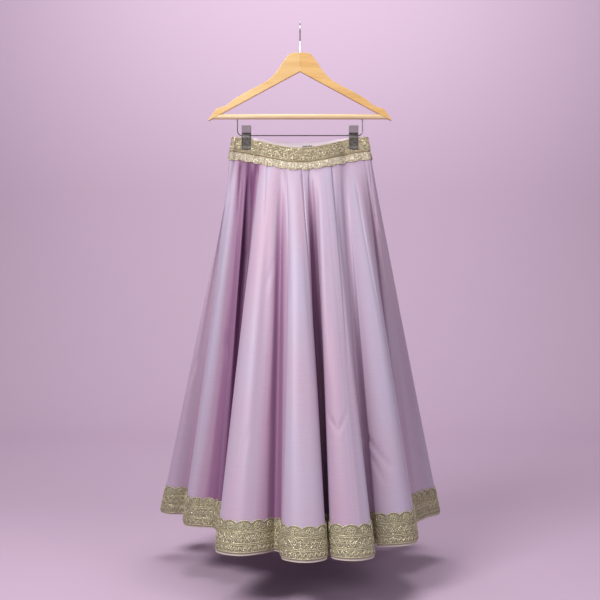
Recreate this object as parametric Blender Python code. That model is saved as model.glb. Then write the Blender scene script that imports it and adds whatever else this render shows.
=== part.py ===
"""A long flared lehenga skirt, held at its waist by the two clips of a wooden hanger.

Units are metres. +Z is up, +X is to the right seen from the front, and the front faces -Y.
The origin is the inside of the hanger hook's crown, where the hook rests on a rail.
"""
import math
from collections import namedtuple

import bmesh
import bpy
import numpy as np
from mathutils import Matrix, Vector

# Driving sizes of the cloth
GAP = 0.0003                 # left between pieces that touch
WAIST_TOP_Z = -0.278         # top edge of the waistband at the sides
BAND_TALL = 0.036            # waistband, top edge to seam
HEM_Z = -1.204               # lower edge of the skirt
WAIST_HALF_TOP = 0.163       # half the flat waist, at the top edge
WAIST_HALF_LOW = 0.1695      # half the flat waist, at the seam under the band
FRONT_SAG = 0.030            # how far the front top edge dips between the clips
BACK_SAG = 0.011
SAG_HALF_SPAN = 0.165
SATIN_THICK = 0.0012
BAND_THICK = 0.0020
FACING_THICK = 0.0010
TRIM_THICK = 0.0010
LAID_GAP = 0.0005            # between a gore and the border or trim that lies on it

# Gores, borders and scallops
GORES = 8
GORE_COLUMNS = 23
GORE_ROWS = 8
FIRST_SEAM = 0.163           # hem share of the seam at the centre front
TOP_ROW_TALL = 0.030         # the row of the gore that the band trim lies on
HEM_ROW_TALL = 0.080         # the row of the gore that the hem border lies on
BORDER_TALL = 0.066          # hem border, lower edge to the crest of a scallop
BORDER_SCALLOP = 0.008
BORDER_LIFT = 0.004          # satin that shows under the border
SCALLOPS_PER_GORE = 14
STEPS_PER_SCALLOP = 4
TRIM_TALL = 0.021
TRIM_START = 0.0014          # how far under the seam the trim begins, to clear the band
TRIM_SCALLOP = 0.005
TRIM_SCALLOPS = 24
BAND_COLUMNS = 32            # in half a turn
GORE_TURN_WEIGHT = 0.030     # metres of cloth that a radian of turning counts as, in spacing columns
BAND_TURN_WEIGHT = 0.012
CLEAR_COLUMN = 0.0012        # least distance between two columns of a border or trim
CLOSING_SHARE = 0.725        # waist share of the opening at the centre back
PLATE_THICK = 0.0010         # hook and bar of the closing
PLATE_TOP = 0.18             # shares of the way down the band
PLATE_LOW = 0.50
PLATE_WIDE = 0.016           # waist shares
PLATE_EDGE = 0.0008

# Driving sizes of the hanger
WOOD_THICK = 0.012
WOOD_EDGE = 0.0025
ARM_APEX_Z = -0.1202         # underside of the arms at the middle
ARM_SLOPE = 0.5394           # fall of the underside for each metre outwards
ARM_TIP_BLUNT = 0.0015
ROD_RADIUS = 0.0065
ROD_Z = -0.229
ROD_STOCK = 0.460            # length of the rod before its ends are cut
HOOK_WIRE = 0.00175          # radius
HOOK_INSIDE = 0.0185         # inside radius of the hook's bend
HOOK_NECK = 0.010            # radius of the bend between stem and hook
HOOK_TIP = -25               # degrees below level where the hook ends, behind the rail
STEM_LOW_Z = -0.104
STEM_HIGH_Z = -0.066
STEM_HOLE_TOP_Z = -0.060
DROP_WIRE = 0.0014           # radius
DROP_X = 0.1511
DROP_Z = -0.2744
DROP_CORNER = 0.011
DROP_TOP_Z = -0.2250
CLIP_X = 0.1295
CLIP_WIDE = 0.0218
CLIP_SHEET = 0.0010
SPRING_OUTER = 0.0036
SPRING_WIDE = 0.0150

# One row for each fold at the hem, going round from the left side through the front.
# x and y: the middle of its crest. across: its width. facing: where the crest looks, in degrees,
# 0 to the front and 90 to the right. valley_x, valley_y and valley_across: the bottom of the valley
# after it. waist_share: where it hangs on the waist, 0 at the left side and 0.25 in front.
Fold = namedtuple("Fold", "name x y across facing valley_x valley_y valley_across waist_share")
FOLDS = (
    Fold("front_left_outer", -0.265, -0.068, 0.116, -48, -0.160, -0.122, 0.040, 0.035),
    Fold("front_left", -0.128, -0.338, 0.104, -6, -0.054, -0.297, 0.024, 0.155),
    Fold("front_middle", 0.011, -0.392, 0.086, 2, 0.058, -0.258, 0.028, 0.240),
    Fold("front_right", 0.111, -0.378, 0.085, 4, 0.150, -0.236, 0.028, 0.328),
    Fold("front_right_outer", 0.240, -0.245, 0.128, 42, 0.240, -0.048, 0.044, 0.440),
    Fold("right_side", 0.347, 0.066, 0.086, 78, 0.266, 0.142, 0.036, 0.515),
    Fold("back_right_outer", 0.288, 0.238, 0.092, 132, 0.192, 0.178, 0.042, 0.585),
    Fold("back_right", 0.140, 0.316, 0.108, 164, 0.064, 0.202, 0.036, 0.685),
    Fold("back_middle", -0.024, 0.338, 0.092, 184, -0.080, 0.236, 0.042, 0.765),
    Fold("back_left", -0.152, 0.304, 0.096, 202, -0.198, 0.172, 0.038, 0.838),
    Fold("back_left_outer", -0.286, 0.222, 0.086, 234, -0.258, 0.144, 0.032, 0.908),
    Fold("left_side", -0.350, 0.098, 0.070, 272, -0.262, 0.050, 0.040, 0.968),
)
CREST_ROUND = 0.28           # how far the shoulders of a crest fall back, as a share of its width
VALLEY_ROUND = 0.46          # the same for the two sides of a valley
HEM_STEPS = 40               # fine steps between two points of the hem's outline

# One row for each station across half the waist. The depths are from the middle plane.
# The clips squeeze the band flat from 0.66 to 0.91 of the way out.
WaistStation = namedtuple("WaistStation", "share_of_half front_top back_top front_low back_low")
WAIST_STATIONS = (
    WaistStation(0.00, 0.0300, 0.0230, 0.0345, 0.0265),
    WaistStation(0.32, 0.0245, 0.0190, 0.0290, 0.0225),
    WaistStation(0.54, 0.0120, 0.0095, 0.0155, 0.0125),
    WaistStation(0.66, 0.0026, 0.0026, 0.0026, 0.0026),
    WaistStation(0.91, 0.0026, 0.0026, 0.0026, 0.0026),
    WaistStation(0.96, 0.0048, 0.0048, 0.0066, 0.0066),
    WaistStation(1.00, 0.0048, 0.0048, 0.0066, 0.0066),
)
SIDE_ROUND = 0.006           # how far from the side the waist begins to turn
WAIST_STEPS = 600            # fine steps across the waist

# Upper outline of a hanger arm, outwards from the middle
ArmStation = namedtuple("ArmStation", "out top")
ARM_STATIONS = (
    ArmStation(0.0120, -0.0745),
    ArmStation(0.0235, -0.0770),
    ArmStation(0.0320, -0.0850),
    ArmStation(0.0435, -0.1010),
    ArmStation(0.0605, -0.1255),
    ArmStation(0.0820, -0.1445),
    ArmStation(0.1185, -0.1640),
    ArmStation(0.1600, -0.1875),
    ArmStation(0.1760, -0.2010),
    ArmStation(0.1860, -0.2055),
    ArmStation(0.2010, -0.2100),
    ArmStation(0.2120, -0.2230),
    ArmStation(0.2215, -0.2375),
)

# Side profile of a clip plate: distance from the middle plane, and height
ClipStation = namedtuple("ClipStation", "off z")
CLIP_STATIONS = (
    ClipStation(0.0108, -0.2515),
    ClipStation(0.0076, -0.2610),
    ClipStation(0.0049, -0.2690),
    ClipStation(0.0045, -0.2744),
    ClipStation(0.0050, -0.2800),
    ClipStation(0.0048, -0.2860),
    ClipStation(0.0048, -0.3045),
    ClipStation(0.0062, -0.3083),
)


def clear_scene():
    for thing in list(bpy.data.objects):
        bpy.data.objects.remove(thing, do_unlink=True)


def make_material(name, colour, roughness, metallic=0.0):
    material = bpy.data.materials.new(name)
    material.use_nodes = True
    shader = material.node_tree.nodes["Principled BSDF"]
    shader.inputs["Base Color"].default_value = (*colour, 1.0)
    shader.inputs["Roughness"].default_value = roughness
    shader.inputs["Metallic"].default_value = metallic
    return material


def add_piece(name, bm, look):
    colour, roughness, metallic = look
    mesh = bpy.data.meshes.new(name)
    bm.to_mesh(mesh)
    bm.free()
    piece = bpy.data.objects.new(name, mesh)
    bpy.context.scene.collection.objects.link(piece)
    mesh.materials.append(make_material(name, colour, roughness, metallic))
    mesh.shade_smooth()
    mesh.set_sharp_from_angle(angle=math.radians(35))
    return piece


SATIN = ((0.52, 0.38, 0.50), 0.38, 0.0)
GOLD_WORK = ((0.50, 0.42, 0.24), 0.42, 0.6)
WOOD = ((0.80, 0.53, 0.24), 0.45, 0.0)
STEEL = ((0.45, 0.44, 0.44), 0.30, 1.0)
CLIP_STEEL = ((0.16, 0.15, 0.15), 0.40, 1.0)


# Curves that the cloth follows

def spline_through(points, closed, steps=16):
    """Centripetal Catmull-Rom curve through the points, as a row of close points."""
    points = np.asarray(points, dtype=float)
    count = len(points)
    if not closed:
        points = np.vstack([2 * points[0] - points[1], points, 2 * points[-1] - points[-2]])
    curve = []
    for i in range(count if closed else count - 1):
        if closed:
            p0, p1, p2, p3 = (points[(i + k - 1) % count] for k in range(4))
        else:
            p0, p1, p2, p3 = points[i:i + 4]
        t1 = math.sqrt(np.linalg.norm(p1 - p0))
        t2 = t1 + math.sqrt(np.linalg.norm(p2 - p1))
        t3 = t2 + math.sqrt(np.linalg.norm(p3 - p2))
        for k in range(steps):
            t = t1 + (t2 - t1) * k / steps
            a1 = ((t1 - t) * p0 + t * p1) / t1
            a2 = ((t2 - t) * p1 + (t - t1) * p2) / (t2 - t1)
            a3 = ((t3 - t) * p2 + (t - t2) * p3) / (t3 - t2)
            b1 = ((t2 - t) * a1 + t * a2) / t2
            b2 = ((t3 - t) * a2 + (t - t1) * a3) / (t3 - t1)
            curve.append(((t2 - t) * b1 + (t - t1) * b2) / (t2 - t1))
    if not closed:
        curve.append(points[-2])
    return np.array(curve)


def smooth_slopes(x, y):
    """Slopes for a curve through the points that never swings past them."""
    steps = np.diff(y) / np.diff(x)
    slopes = np.zeros(len(x))
    before, after = steps[:-1], steps[1:]
    same_way = before * after > 0
    slopes[1:-1][same_way] = (2 * before * after)[same_way] / (before + after)[same_way]
    return slopes


def read_smooth(x, y, at):
    """Value of the smooth curve through the points (x, y) at other places along x."""
    x = np.asarray(x, dtype=float)
    y = np.asarray(y, dtype=float)
    slopes = smooth_slopes(x, y)
    k = np.clip(np.searchsorted(x, at, side="right") - 1, 0, len(x) - 2)
    width = x[k + 1] - x[k]
    t = (at - x[k]) / width
    value = (2 * t**3 - 3 * t**2 + 1) * y[k] + (t**3 - 2 * t**2 + t) * width * slopes[k]
    return value + (3 * t**2 - 2 * t**3) * y[k + 1] + (t**3 - t**2) * width * slopes[k + 1]


class Loop:
    """A closed curve in plan, read by its share of the way round."""

    def __init__(self, curve):
        self.curve = np.vstack([curve, curve[:1]])
        lengths = np.linalg.norm(np.diff(self.curve, axis=0), axis=1)
        self.run = np.concatenate([[0.0], np.cumsum(lengths)])
        self.length = self.run[-1]

    def at(self, share):
        run = (np.asarray(share, dtype=float) % 1.0) * self.length
        columns = [np.interp(run, self.run, self.curve[:, axis]) for axis in (0, 1)]
        return np.stack(columns, axis=-1)


def arched(x, y, across, facing, round_share):
    """Three points of an arch: its left shoulder, its middle and its right shoulder."""
    angle = math.radians(facing)
    along = np.array([math.cos(angle), math.sin(angle)])
    outward = np.array([math.sin(angle), -math.cos(angle)])
    middle = np.array([x, y])
    fall = outward * across * round_share
    return [middle - along * across / 2 - fall, middle, middle + along * across / 2 - fall]


def hem_control_points():
    """Three points over each crest of the hem and three round each valley."""
    points = []
    for fold, following in zip(FOLDS, FOLDS[1:] + FOLDS[:1]):
        turn = (following.facing - fold.facing + 180) % 360 - 180
        points += arched(fold.x, fold.y, fold.across, fold.facing, CREST_ROUND)
        points += arched(fold.valley_x, fold.valley_y, fold.valley_across, fold.facing + turn / 2,
                         -VALLEY_ROUND)
    return points


def waist_curve(half_width, front, back):
    """Round the waist from the left side, along the front, to the right side and back."""
    places = [station.share_of_half * half_width for station in WAIST_STATIONS]
    x = -half_width * np.cos(np.linspace(0.0, math.pi, WAIST_STEPS))
    end = np.clip((np.abs(x) - half_width + SIDE_ROUND) / SIDE_ROUND, 0.0, 1.0)
    closing = np.sqrt(1 - end**2)
    sides = []
    for depth_name, way in ((front, -1), (back, 1)):
        depths = [getattr(station, depth_name) for station in WAIST_STATIONS]
        sides.append(np.stack([x, way * closing * read_smooth(places, depths, np.abs(x))], axis=1))
    return np.vstack([sides[0], sides[1][-2:0:-1]])


HEM = Loop(spline_through(hem_control_points(), closed=True, steps=HEM_STEPS))
WAIST_TOP = Loop(waist_curve(WAIST_HALF_TOP, "front_top", "back_top"))
WAIST_LOW = Loop(waist_curve(WAIST_HALF_LOW, "front_low", "back_low"))


def build_share_table():
    """Hem shares of the crests and their waist shares, over three turns."""
    crests = np.array([HEM.run[(6 * i + 1) * HEM_STEPS] for i in range(len(FOLDS))]) / HEM.length
    waists = np.array([fold.waist_share for fold in FOLDS])
    turns = (-1, 0, 1)
    return np.concatenate([crests + t for t in turns]), np.concatenate([waists + t for t in turns])


SHARE_TABLE = build_share_table()


def waist_share(hem_share):
    """Where on the waist the cloth at this share of the hem hangs from."""
    share = np.asarray(hem_share, dtype=float)
    turn = np.floor(share)
    return read_smooth(*SHARE_TABLE, share - turn) + turn


def waist_edge_z(share):
    """Height of the waistband's top edge: it sags between the clips, more in front."""
    share = np.asarray(share, dtype=float) % 1.0
    x = WAIST_TOP.at(share)[..., 0]
    sag = np.where(share < 0.5, FRONT_SAG, BACK_SAG)
    reach = np.clip(np.abs(x) / SAG_HALF_SPAN, 0.0, 1.0)
    return WAIST_TOP_Z - sag * np.cos(reach * math.pi / 2) ** 2


def band_surface(share, down):
    """A point of the waistband's middle surface, down from 0 at the top edge to 1 at the seam."""
    plan = (1 - down)[..., None] * WAIST_TOP.at(share) + down[..., None] * WAIST_LOW.at(share)
    height = waist_edge_z(share) - down * BAND_TALL
    return np.concatenate([plan, height[..., None]], axis=-1)


def skirt_surface(hem_share, down):
    """A point of the skirt's middle surface, down from 0 at the waist seam to 1 at the hem."""
    share = waist_share(hem_share)
    plan = (1 - down)[..., None] * WAIST_LOW.at(share) + down[..., None] * HEM.at(hem_share)
    top = waist_edge_z(share) - BAND_TALL - GAP
    height = (1 - down) * top + down * HEM_Z
    return np.concatenate([plan, height[..., None]], axis=-1)


def outward_normals(surface, share, down, share_step=0.0006, down_step=0.004):
    round_way = surface(share + share_step, down) - surface(share - share_step, down)
    down_way = surface(share, down + down_step) - surface(share, down - down_step)
    normal = np.cross(down_way, round_way)
    return normal / np.linalg.norm(normal, axis=-1, keepdims=True)


def open_seams(points):
    """Draw the two end columns in by half a gap, so that the piece stays clear of the next one."""
    for edge, neighbour in ((0, 1), (-1, -2)):
        way = points[:, neighbour] - points[:, edge]
        way = way / np.linalg.norm(way, axis=-1, keepdims=True)
        points[:, edge] += way * GAP / 2
    return points


# Walls of cloth

def add_grid(bm, points):
    rows, columns = points.shape[:2]
    made = bmesh.ops.create_grid(bm, x_segments=columns - 1, y_segments=rows - 1, size=1.0)["verts"]
    for vert, place in zip(made, points.reshape(-1, 3)):
        vert.co = Vector(place)
    return made


def rim_of_grid(rows, columns):
    """The points round the edge of a grid, numbered along its rows."""
    top = list(range(columns))
    right = [row * columns + columns - 1 for row in range(1, rows)]
    bottom = [(rows - 1) * columns + column for column in range(columns - 2, -1, -1)]
    left = [row * columns for row in range(rows - 2, 0, -1)]
    return top + right + bottom + left


def add_wall(name, outer, inner, look):
    """A closed wall between two grids of points, joined round their edges.

    The rim is cut from each outer upper corner to the inner lower one, so that two walls that meet
    at a seam have the same facets there.
    """
    bm = bmesh.new()
    outside = add_grid(bm, outer)
    inside = add_grid(bm, inner)
    rim = rim_of_grid(*outer.shape[:2])
    for here, there in zip(rim, rim[1:] + rim[:1]):
        upper, lower = sorted((here, there))
        bm.faces.new((outside[upper], outside[lower], inside[lower]))
        bm.faces.new((outside[upper], inside[lower], inside[upper]))
    bmesh.ops.recalc_face_normals(bm, faces=bm.faces)
    return add_piece(name, bm, look)


def gore_rows():
    """Shares of the way down: a row for the trim, even rows, and a row for the hem border."""
    length = abs(HEM_Z - WAIST_TOP_Z) - BAND_TALL
    first = TOP_ROW_TALL / length
    last = 1 - HEM_ROW_TALL / length
    return np.concatenate([[0.0], np.linspace(first, last, GORE_ROWS - 1), [1.0]])


def even_shares(loop, start, end, count, turn_weight):
    """Columns between two shares of a loop, closer together where it turns."""
    fine = np.linspace(start, end, 60 * count)
    step = np.diff(loop.at(fine), axis=0)
    length = np.linalg.norm(step, axis=1)
    heading = np.unwrap(np.arctan2(step[:, 1], step[:, 0]))
    weight = length + turn_weight * np.abs(np.gradient(heading))
    run = np.concatenate([[0.0], np.cumsum(weight)])
    return np.interp(np.linspace(0.0, run[-1], count + 1), run, fine)


class GoreSheet:
    """The middle surface and normals of one gore, as a grid of points that other pieces lie on."""

    def __init__(self, index):
        start = FIRST_SEAM + index / GORES
        self.shares = even_shares(HEM, start, start + 1 / GORES, GORE_COLUMNS, GORE_TURN_WEIGHT)
        share, down = np.meshgrid(self.shares, gore_rows())
        self.points = skirt_surface(share, down)
        self.normals = outward_normals(skirt_surface, share, down)

    def lay_on(self, share, row_pair, amount, lift):
        """A row of points over one row of the gore's own facets, raised off its middle surface."""
        upper, lower = row_pair
        left = np.clip(np.searchsorted(self.shares, share, side="right") - 1, 0, GORE_COLUMNS - 1)
        part = ((share - self.shares[left]) / (self.shares[left + 1] - self.shares[left]))[..., None]
        amount = np.asarray(amount)[..., None]
        raised = self.points + self.normals * lift
        high = raised[upper][left] * (1 - part) + raised[upper][left + 1] * part
        low = raised[lower][left] * (1 - part) + raised[lower][left + 1] * part
        return high * (1 - amount) + low * amount


GORE_SHEETS = [GoreSheet(index) for index in range(GORES)]
GORE_NAMES = ("front_right", "right_front", "right_back", "back_right",
              "back_left", "left_back", "left_front", "front_left")


def make_gores():
    half = SATIN_THICK / 2
    for name, sheet in zip(GORE_NAMES, GORE_SHEETS):
        outer = open_seams(sheet.points + sheet.normals * half)
        inner = open_seams(sheet.points - sheet.normals * half)
        add_wall("gore_" + name, outer, inner, SATIN)


def scallop_rise(phase):
    """0 at the notch between two scallops, 1 at the crest."""
    within = 2 * (phase % 1.0) - 1
    return np.sqrt(np.clip(1 - within**2, 0.0, 1.0))


def border_shares(sheet):
    """The gore's own columns and the steps of the scallops, without two that nearly meet."""
    start, end = sheet.shares[0], sheet.shares[-1]
    steps = np.linspace(start, end, SCALLOPS_PER_GORE * STEPS_PER_SCALLOP + 1)
    apart = np.abs(steps[:, None] - sheet.shares).min(axis=1) * HEM.length
    return np.sort(np.concatenate([sheet.shares, steps[apart > CLEAR_COLUMN]]))


def make_hem_borders():
    """The embroidered border on each gore, with a scalloped upper edge."""
    row_pair = (GORE_ROWS - 1, GORE_ROWS)
    inside = SATIN_THICK / 2 + LAID_GAP
    for name, sheet in zip(GORE_NAMES, GORE_SHEETS):
        shares = border_shares(sheet)
        phase = (shares - shares[0]) * GORES * SCALLOPS_PER_GORE
        top = BORDER_LIFT + BORDER_TALL - BORDER_SCALLOP * (1 - scallop_rise(phase))
        walls = []
        for lift in (inside + TRIM_THICK, inside):
            rows = [sheet.lay_on(shares, row_pair, 1 - height / HEM_ROW_TALL, lift)
                    for height in (top, np.full_like(top, BORDER_LIFT))]
            walls.append(open_seams(np.stack(rows)))
        add_wall("hem_border_" + name, walls[0], walls[1], GOLD_WORK)


BAND_SPANS = (("front", 0.0, 0.5), ("back_right", 0.5, CLOSING_SHARE), ("back_left", CLOSING_SHARE, 1.0))


def make_waistband():
    """The gold band, its satin facing, and the scalloped trim that hangs from its lower edge."""
    inner_face = -SATIN_THICK / 2
    for name, start, end in BAND_SPANS:
        count = round(BAND_COLUMNS * (end - start) / 0.5)
        columns = even_shares(WAIST_TOP, start, end, count, BAND_TURN_WEIGHT)
        share, down = np.meshgrid(columns, np.array([0.0, 1.0]))
        points = band_surface(share, down)
        normals = outward_normals(band_surface, share, down)
        layers = (("band_", inner_face + BAND_THICK, inner_face, GOLD_WORK),
                  ("facing_", inner_face - GAP, inner_face - GAP - FACING_THICK, SATIN))
        for prefix, out, into, look in layers:
            outer = open_seams(points + normals * out)
            inner = open_seams(points + normals * into)
            add_wall(prefix + name, outer, inner, look)


def trim_shares(start, end):
    """Hem shares of the gore columns between two waist shares, and of the two ends themselves."""
    columns = np.concatenate([sheet.shares[:-1] + turn for turn in (-1, 0) for sheet in GORE_SHEETS])
    hung = waist_share(columns)
    clear = CLEAR_COLUMN / WAIST_LOW.length
    ends = np.interp([start, end], hung, columns)
    inside = columns[(hung > start + clear) & (hung < end - clear)]
    return np.concatenate([ends[:1], inside, ends[1:]])


def make_band_trims():
    """The scalloped trim that hangs from the band over the top row of the gores."""
    inside = SATIN_THICK / 2 + LAID_GAP
    for name, start, end in BAND_SPANS:
        shares = trim_shares(start, end)
        low = TRIM_TALL - TRIM_SCALLOP * (1 - scallop_rise(waist_share(shares) * TRIM_SCALLOPS))
        outer = np.zeros((2, len(shares), 3))
        inner = np.zeros((2, len(shares), 3))
        for k, share in enumerate(shares):
            turned = (share - FIRST_SEAM) % 1.0 + FIRST_SEAM
            sheet = GORE_SHEETS[int((turned - FIRST_SEAM) * GORES)]
            amounts = np.array([TRIM_START, low[k]]) / TOP_ROW_TALL
            outer[:, k] = sheet.lay_on(np.full(2, turned), (0, 1), amounts, inside + TRIM_THICK)
            inner[:, k] = sheet.lay_on(np.full(2, turned), (0, 1), amounts, inside)
        add_wall("band_trim_" + name, open_seams(outer), open_seams(inner), GOLD_WORK)


def make_waist_fastening():
    """A flat hook and bar on the facing, each side of the opening at the centre back."""
    face = -SATIN_THICK / 2 - GAP - FACING_THICK - GAP
    far = PLATE_EDGE + PLATE_WIDE
    spans = (("waist_hook", CLOSING_SHARE + PLATE_EDGE, CLOSING_SHARE + far),
             ("waist_bar", CLOSING_SHARE - far, CLOSING_SHARE - PLATE_EDGE))
    for name, start, end in spans:
        share, down = np.meshgrid(np.linspace(start, end, 3), np.array([PLATE_TOP, PLATE_LOW]))
        points = band_surface(share, down)
        normals = outward_normals(band_surface, share, down)
        add_wall(name, points + normals * face, points + normals * (face - PLATE_THICK), STEEL)


# Hanger

def arm_underside(out):
    return ARM_APEX_Z - ARM_SLOPE * out


def make_arm(name, side):
    """Half of the wooden hanger, cut from a board and rounded along its edges."""
    top = spline_through([(s.out, s.top) for s in ARM_STATIONS], closed=False, steps=2)
    blunt = ARM_STATIONS[-1].out - ARM_TIP_BLUNT
    middle = GAP / 2
    outline = [(middle, ARM_STATIONS[0].top)] + [tuple(point) for point in top]
    outline += [(blunt, arm_underside(blunt)), (middle, arm_underside(middle))]
    bm = bmesh.new()
    verts = [bm.verts.new((side * x, -WOOD_THICK / 2, z)) for x, z in outline]
    front = bm.faces.new(verts)
    grown = bmesh.ops.extrude_face_region(bm, geom=[front], use_keep_orig=True)
    moved = [item for item in grown["geom"] if isinstance(item, bmesh.types.BMVert)]
    bmesh.ops.translate(bm, verts=moved, vec=(0.0, WOOD_THICK, 0.0))
    rims = []
    for edge in bm.edges:
        ends = [vert.co for vert in edge.verts]
        on_face = abs(ends[0].y - ends[1].y) < GAP / 10
        at_joint = all(abs(end.x) < GAP for end in ends)
        if on_face and not at_joint:
            rims.append(edge)
    bmesh.ops.recalc_face_normals(bm, faces=bm.faces)
    bmesh.ops.bevel(bm, geom=rims, offset=WOOD_EDGE, offset_type="OFFSET", affect="EDGES",
                    segments=2, profile=0.5, material=-1, clamp_overlap=True)
    bmesh.ops.recalc_face_normals(bm, faces=bm.faces)
    return add_piece(name, bm, WOOD)


def add_cutter(name, radius, low, high, x=0.0):
    bm = bmesh.new()
    place = Matrix.Translation((x, 0.0, (low + high) / 2))
    bmesh.ops.create_cone(bm, cap_ends=True, segments=16, radius1=radius, radius2=radius,
                          depth=high - low, matrix=place)
    cutter = add_piece(name, bm, STEEL)
    cutter.hide_render = True
    cutter.display_type = "WIRE"
    return cutter


def cut_with(piece, cutter):
    cut = piece.modifiers.new(cutter.name, "BOOLEAN")
    cut.operation = "DIFFERENCE"
    cut.solver = "EXACT"
    cut.object = cutter


def make_rod():
    """The round wooden rod, with its ends cut to the slope of the arms."""
    bm = bmesh.new()
    turned = Matrix.Translation((0.0, 0.0, ROD_Z)) @ Matrix.Rotation(math.pi / 2, 4, "Y")
    bmesh.ops.create_cone(bm, cap_ends=True, segments=20, radius1=ROD_RADIUS, radius2=ROD_RADIUS,
                          depth=ROD_STOCK, matrix=turned)
    fall = GAP * math.hypot(1.0, ARM_SLOPE)
    for side in (-1, 1):
        bmesh.ops.bisect_plane(bm, geom=bm.verts[:] + bm.edges[:] + bm.faces[:], dist=1e-6,
                               plane_co=(0.0, 0.0, ARM_APEX_Z - fall),
                               plane_no=(side * ARM_SLOPE, 0.0, 1.0), clear_outer=True)
        rim = [edge for edge in bm.edges if edge.is_boundary]
        bmesh.ops.holes_fill(bm, edges=rim, sides=0)
    bmesh.ops.recalc_face_normals(bm, faces=bm.faces)
    return add_piece("hanger_rod", bm, WOOD)


def add_wire(name, path, radius, look):
    curve = bpy.data.curves.new(name, "CURVE")
    curve.dimensions = "3D"
    curve.bevel_depth = radius
    curve.bevel_resolution = 2
    curve.use_fill_caps = True
    spline = curve.splines.new("POLY")
    spline.points.add(len(path) - 1)
    for point, place in zip(spline.points, path):
        point.co = (*place, 1.0)
    wire = bpy.data.objects.new(name, curve)
    bpy.context.scene.collection.objects.link(wire)
    colour, roughness, metallic = look
    curve.materials.append(make_material(name, colour, roughness, metallic))
    return wire


def arc(centre, radius, start, end, steps):
    """Points of an arc, from start to end in degrees, with both its ends."""
    angles = np.radians(np.linspace(start, end, steps + 1))
    return [(centre[0] + radius * math.cos(a), centre[1] + radius * math.sin(a)) for a in angles]


def hook_path():
    """Up the stem, forward round the rail, over its top and down behind it, in the YZ plane."""
    bend = HOOK_INSIDE + HOOK_WIRE
    centre = (0.0, -HOOK_INSIDE)
    reach = bend + HOOK_NECK
    neck = (-HOOK_NECK, centre[1] - math.sqrt(reach**2 - HOOK_NECK**2))
    meeting = math.degrees(math.atan2(centre[1] - neck[1], centre[0] - neck[0]))
    path = [(0.0, STEM_LOW_Z), (0.0, STEM_HIGH_Z)]
    path += arc(neck, HOOK_NECK, 0.0, meeting, 4)
    path += arc(centre, bend, meeting - 180, HOOK_TIP - 360, 20)[1:]
    return [(0.0, y, z) for y, z in path]


def drop_wire_path():
    """Down from the rod, round a corner, along under it and up again."""
    left = arc((-DROP_X + DROP_CORNER, DROP_Z + DROP_CORNER), DROP_CORNER, 180, 270, 5)
    right = arc((DROP_X - DROP_CORNER, DROP_Z + DROP_CORNER), DROP_CORNER, 270, 360, 5)
    path = [(-DROP_X, DROP_TOP_Z)] + left + right + [(DROP_X, DROP_TOP_Z)]
    return [(x, 0.0, z) for x, z in path]


def make_clip_plate(name, centre_x, side):
    """One pressed steel plate of a clip: a lever above the wire and a jaw below it."""
    profile = spline_through([(s.off, s.z) for s in CLIP_STATIONS], closed=False, steps=2)
    along = np.gradient(profile, axis=0)
    normal = np.stack([-along[:, 1], along[:, 0]], axis=1)
    normal /= np.linalg.norm(normal, axis=1, keepdims=True)
    across = centre_x + np.linspace(-0.5, 0.5, 3) * CLIP_WIDE
    faces = []
    for lift in (CLIP_SHEET / 2, -CLIP_SHEET / 2):
        line = profile + normal * lift
        grid = np.zeros((len(line), len(across), 3))
        grid[..., 0] = across
        grid[..., 1] = side * line[:, :1]
        grid[..., 2] = line[:, 1:]
        faces.append(grid)
    return add_wall(name, faces[0], faces[1], CLIP_STEEL)


def make_spring(name, centre_x):
    """The coil that sits round the drop wire between the two plates."""
    inner = DROP_WIRE + GAP
    corners = ((inner, -0.5), (SPRING_OUTER, -0.5), (SPRING_OUTER, 0.5), (inner, 0.5))
    bm = bmesh.new()
    ring = [bm.verts.new((centre_x + end * SPRING_WIDE, 0.0, DROP_Z + r)) for r, end in corners]
    edges = [bm.edges.new((ring[i], ring[(i + 1) % 4])) for i in range(4)]
    bmesh.ops.spin(bm, geom=ring + edges, cent=(centre_x, 0.0, DROP_Z), axis=(1.0, 0.0, 0.0),
                   angle=2 * math.pi, steps=16, use_merge=True)
    bmesh.ops.recalc_face_normals(bm, faces=bm.faces)
    return add_piece(name, bm, STEEL)


def make_hanger():
    arms = [make_arm("hanger_arm_left", -1), make_arm("hanger_arm_right", 1)]
    stem_hole = add_cutter("stem_hole", HOOK_WIRE + GAP, STEM_LOW_Z - GAP, STEM_HOLE_TOP_Z)
    for arm in arms:
        cut_with(arm, stem_hole)
    rod = make_rod()
    for side, x in (("left", -DROP_X), ("right", DROP_X)):
        hole = add_cutter("wire_hole_" + side, DROP_WIRE + GAP, ROD_Z - 2 * ROD_RADIUS, DROP_TOP_Z + GAP, x)
        cut_with(rod, hole)
    add_wire("hanger_hook", hook_path(), HOOK_WIRE, STEEL)
    add_wire("drop_wire", drop_wire_path(), DROP_WIRE, STEEL)
    for side, x in (("left", -CLIP_X), ("right", CLIP_X)):
        make_clip_plate("clip_" + side + "_front", x, -1)
        make_clip_plate("clip_" + side + "_back", x, 1)
        make_spring("clip_" + side + "_spring", x)


clear_scene()
make_gores()
make_hem_borders()
make_waistband()
make_band_trims()
make_waist_fastening()
make_hanger()
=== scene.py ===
# %% [markdown]
# # A lilac lehenga skirt on its clip hanger
# The skirt is eight gores of shot satin sewn to an embroidered waistband, with an embroidered border
# round the hem. It hangs by its waist from the two clips of a wooden hanger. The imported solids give
# the sizes, and this script dresses them. Everything is in metres, +Z is up and the front faces -Y.

# %% Load the solids
import math

import bmesh
import bpy
import numpy as np
from mathutils import Matrix


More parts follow.
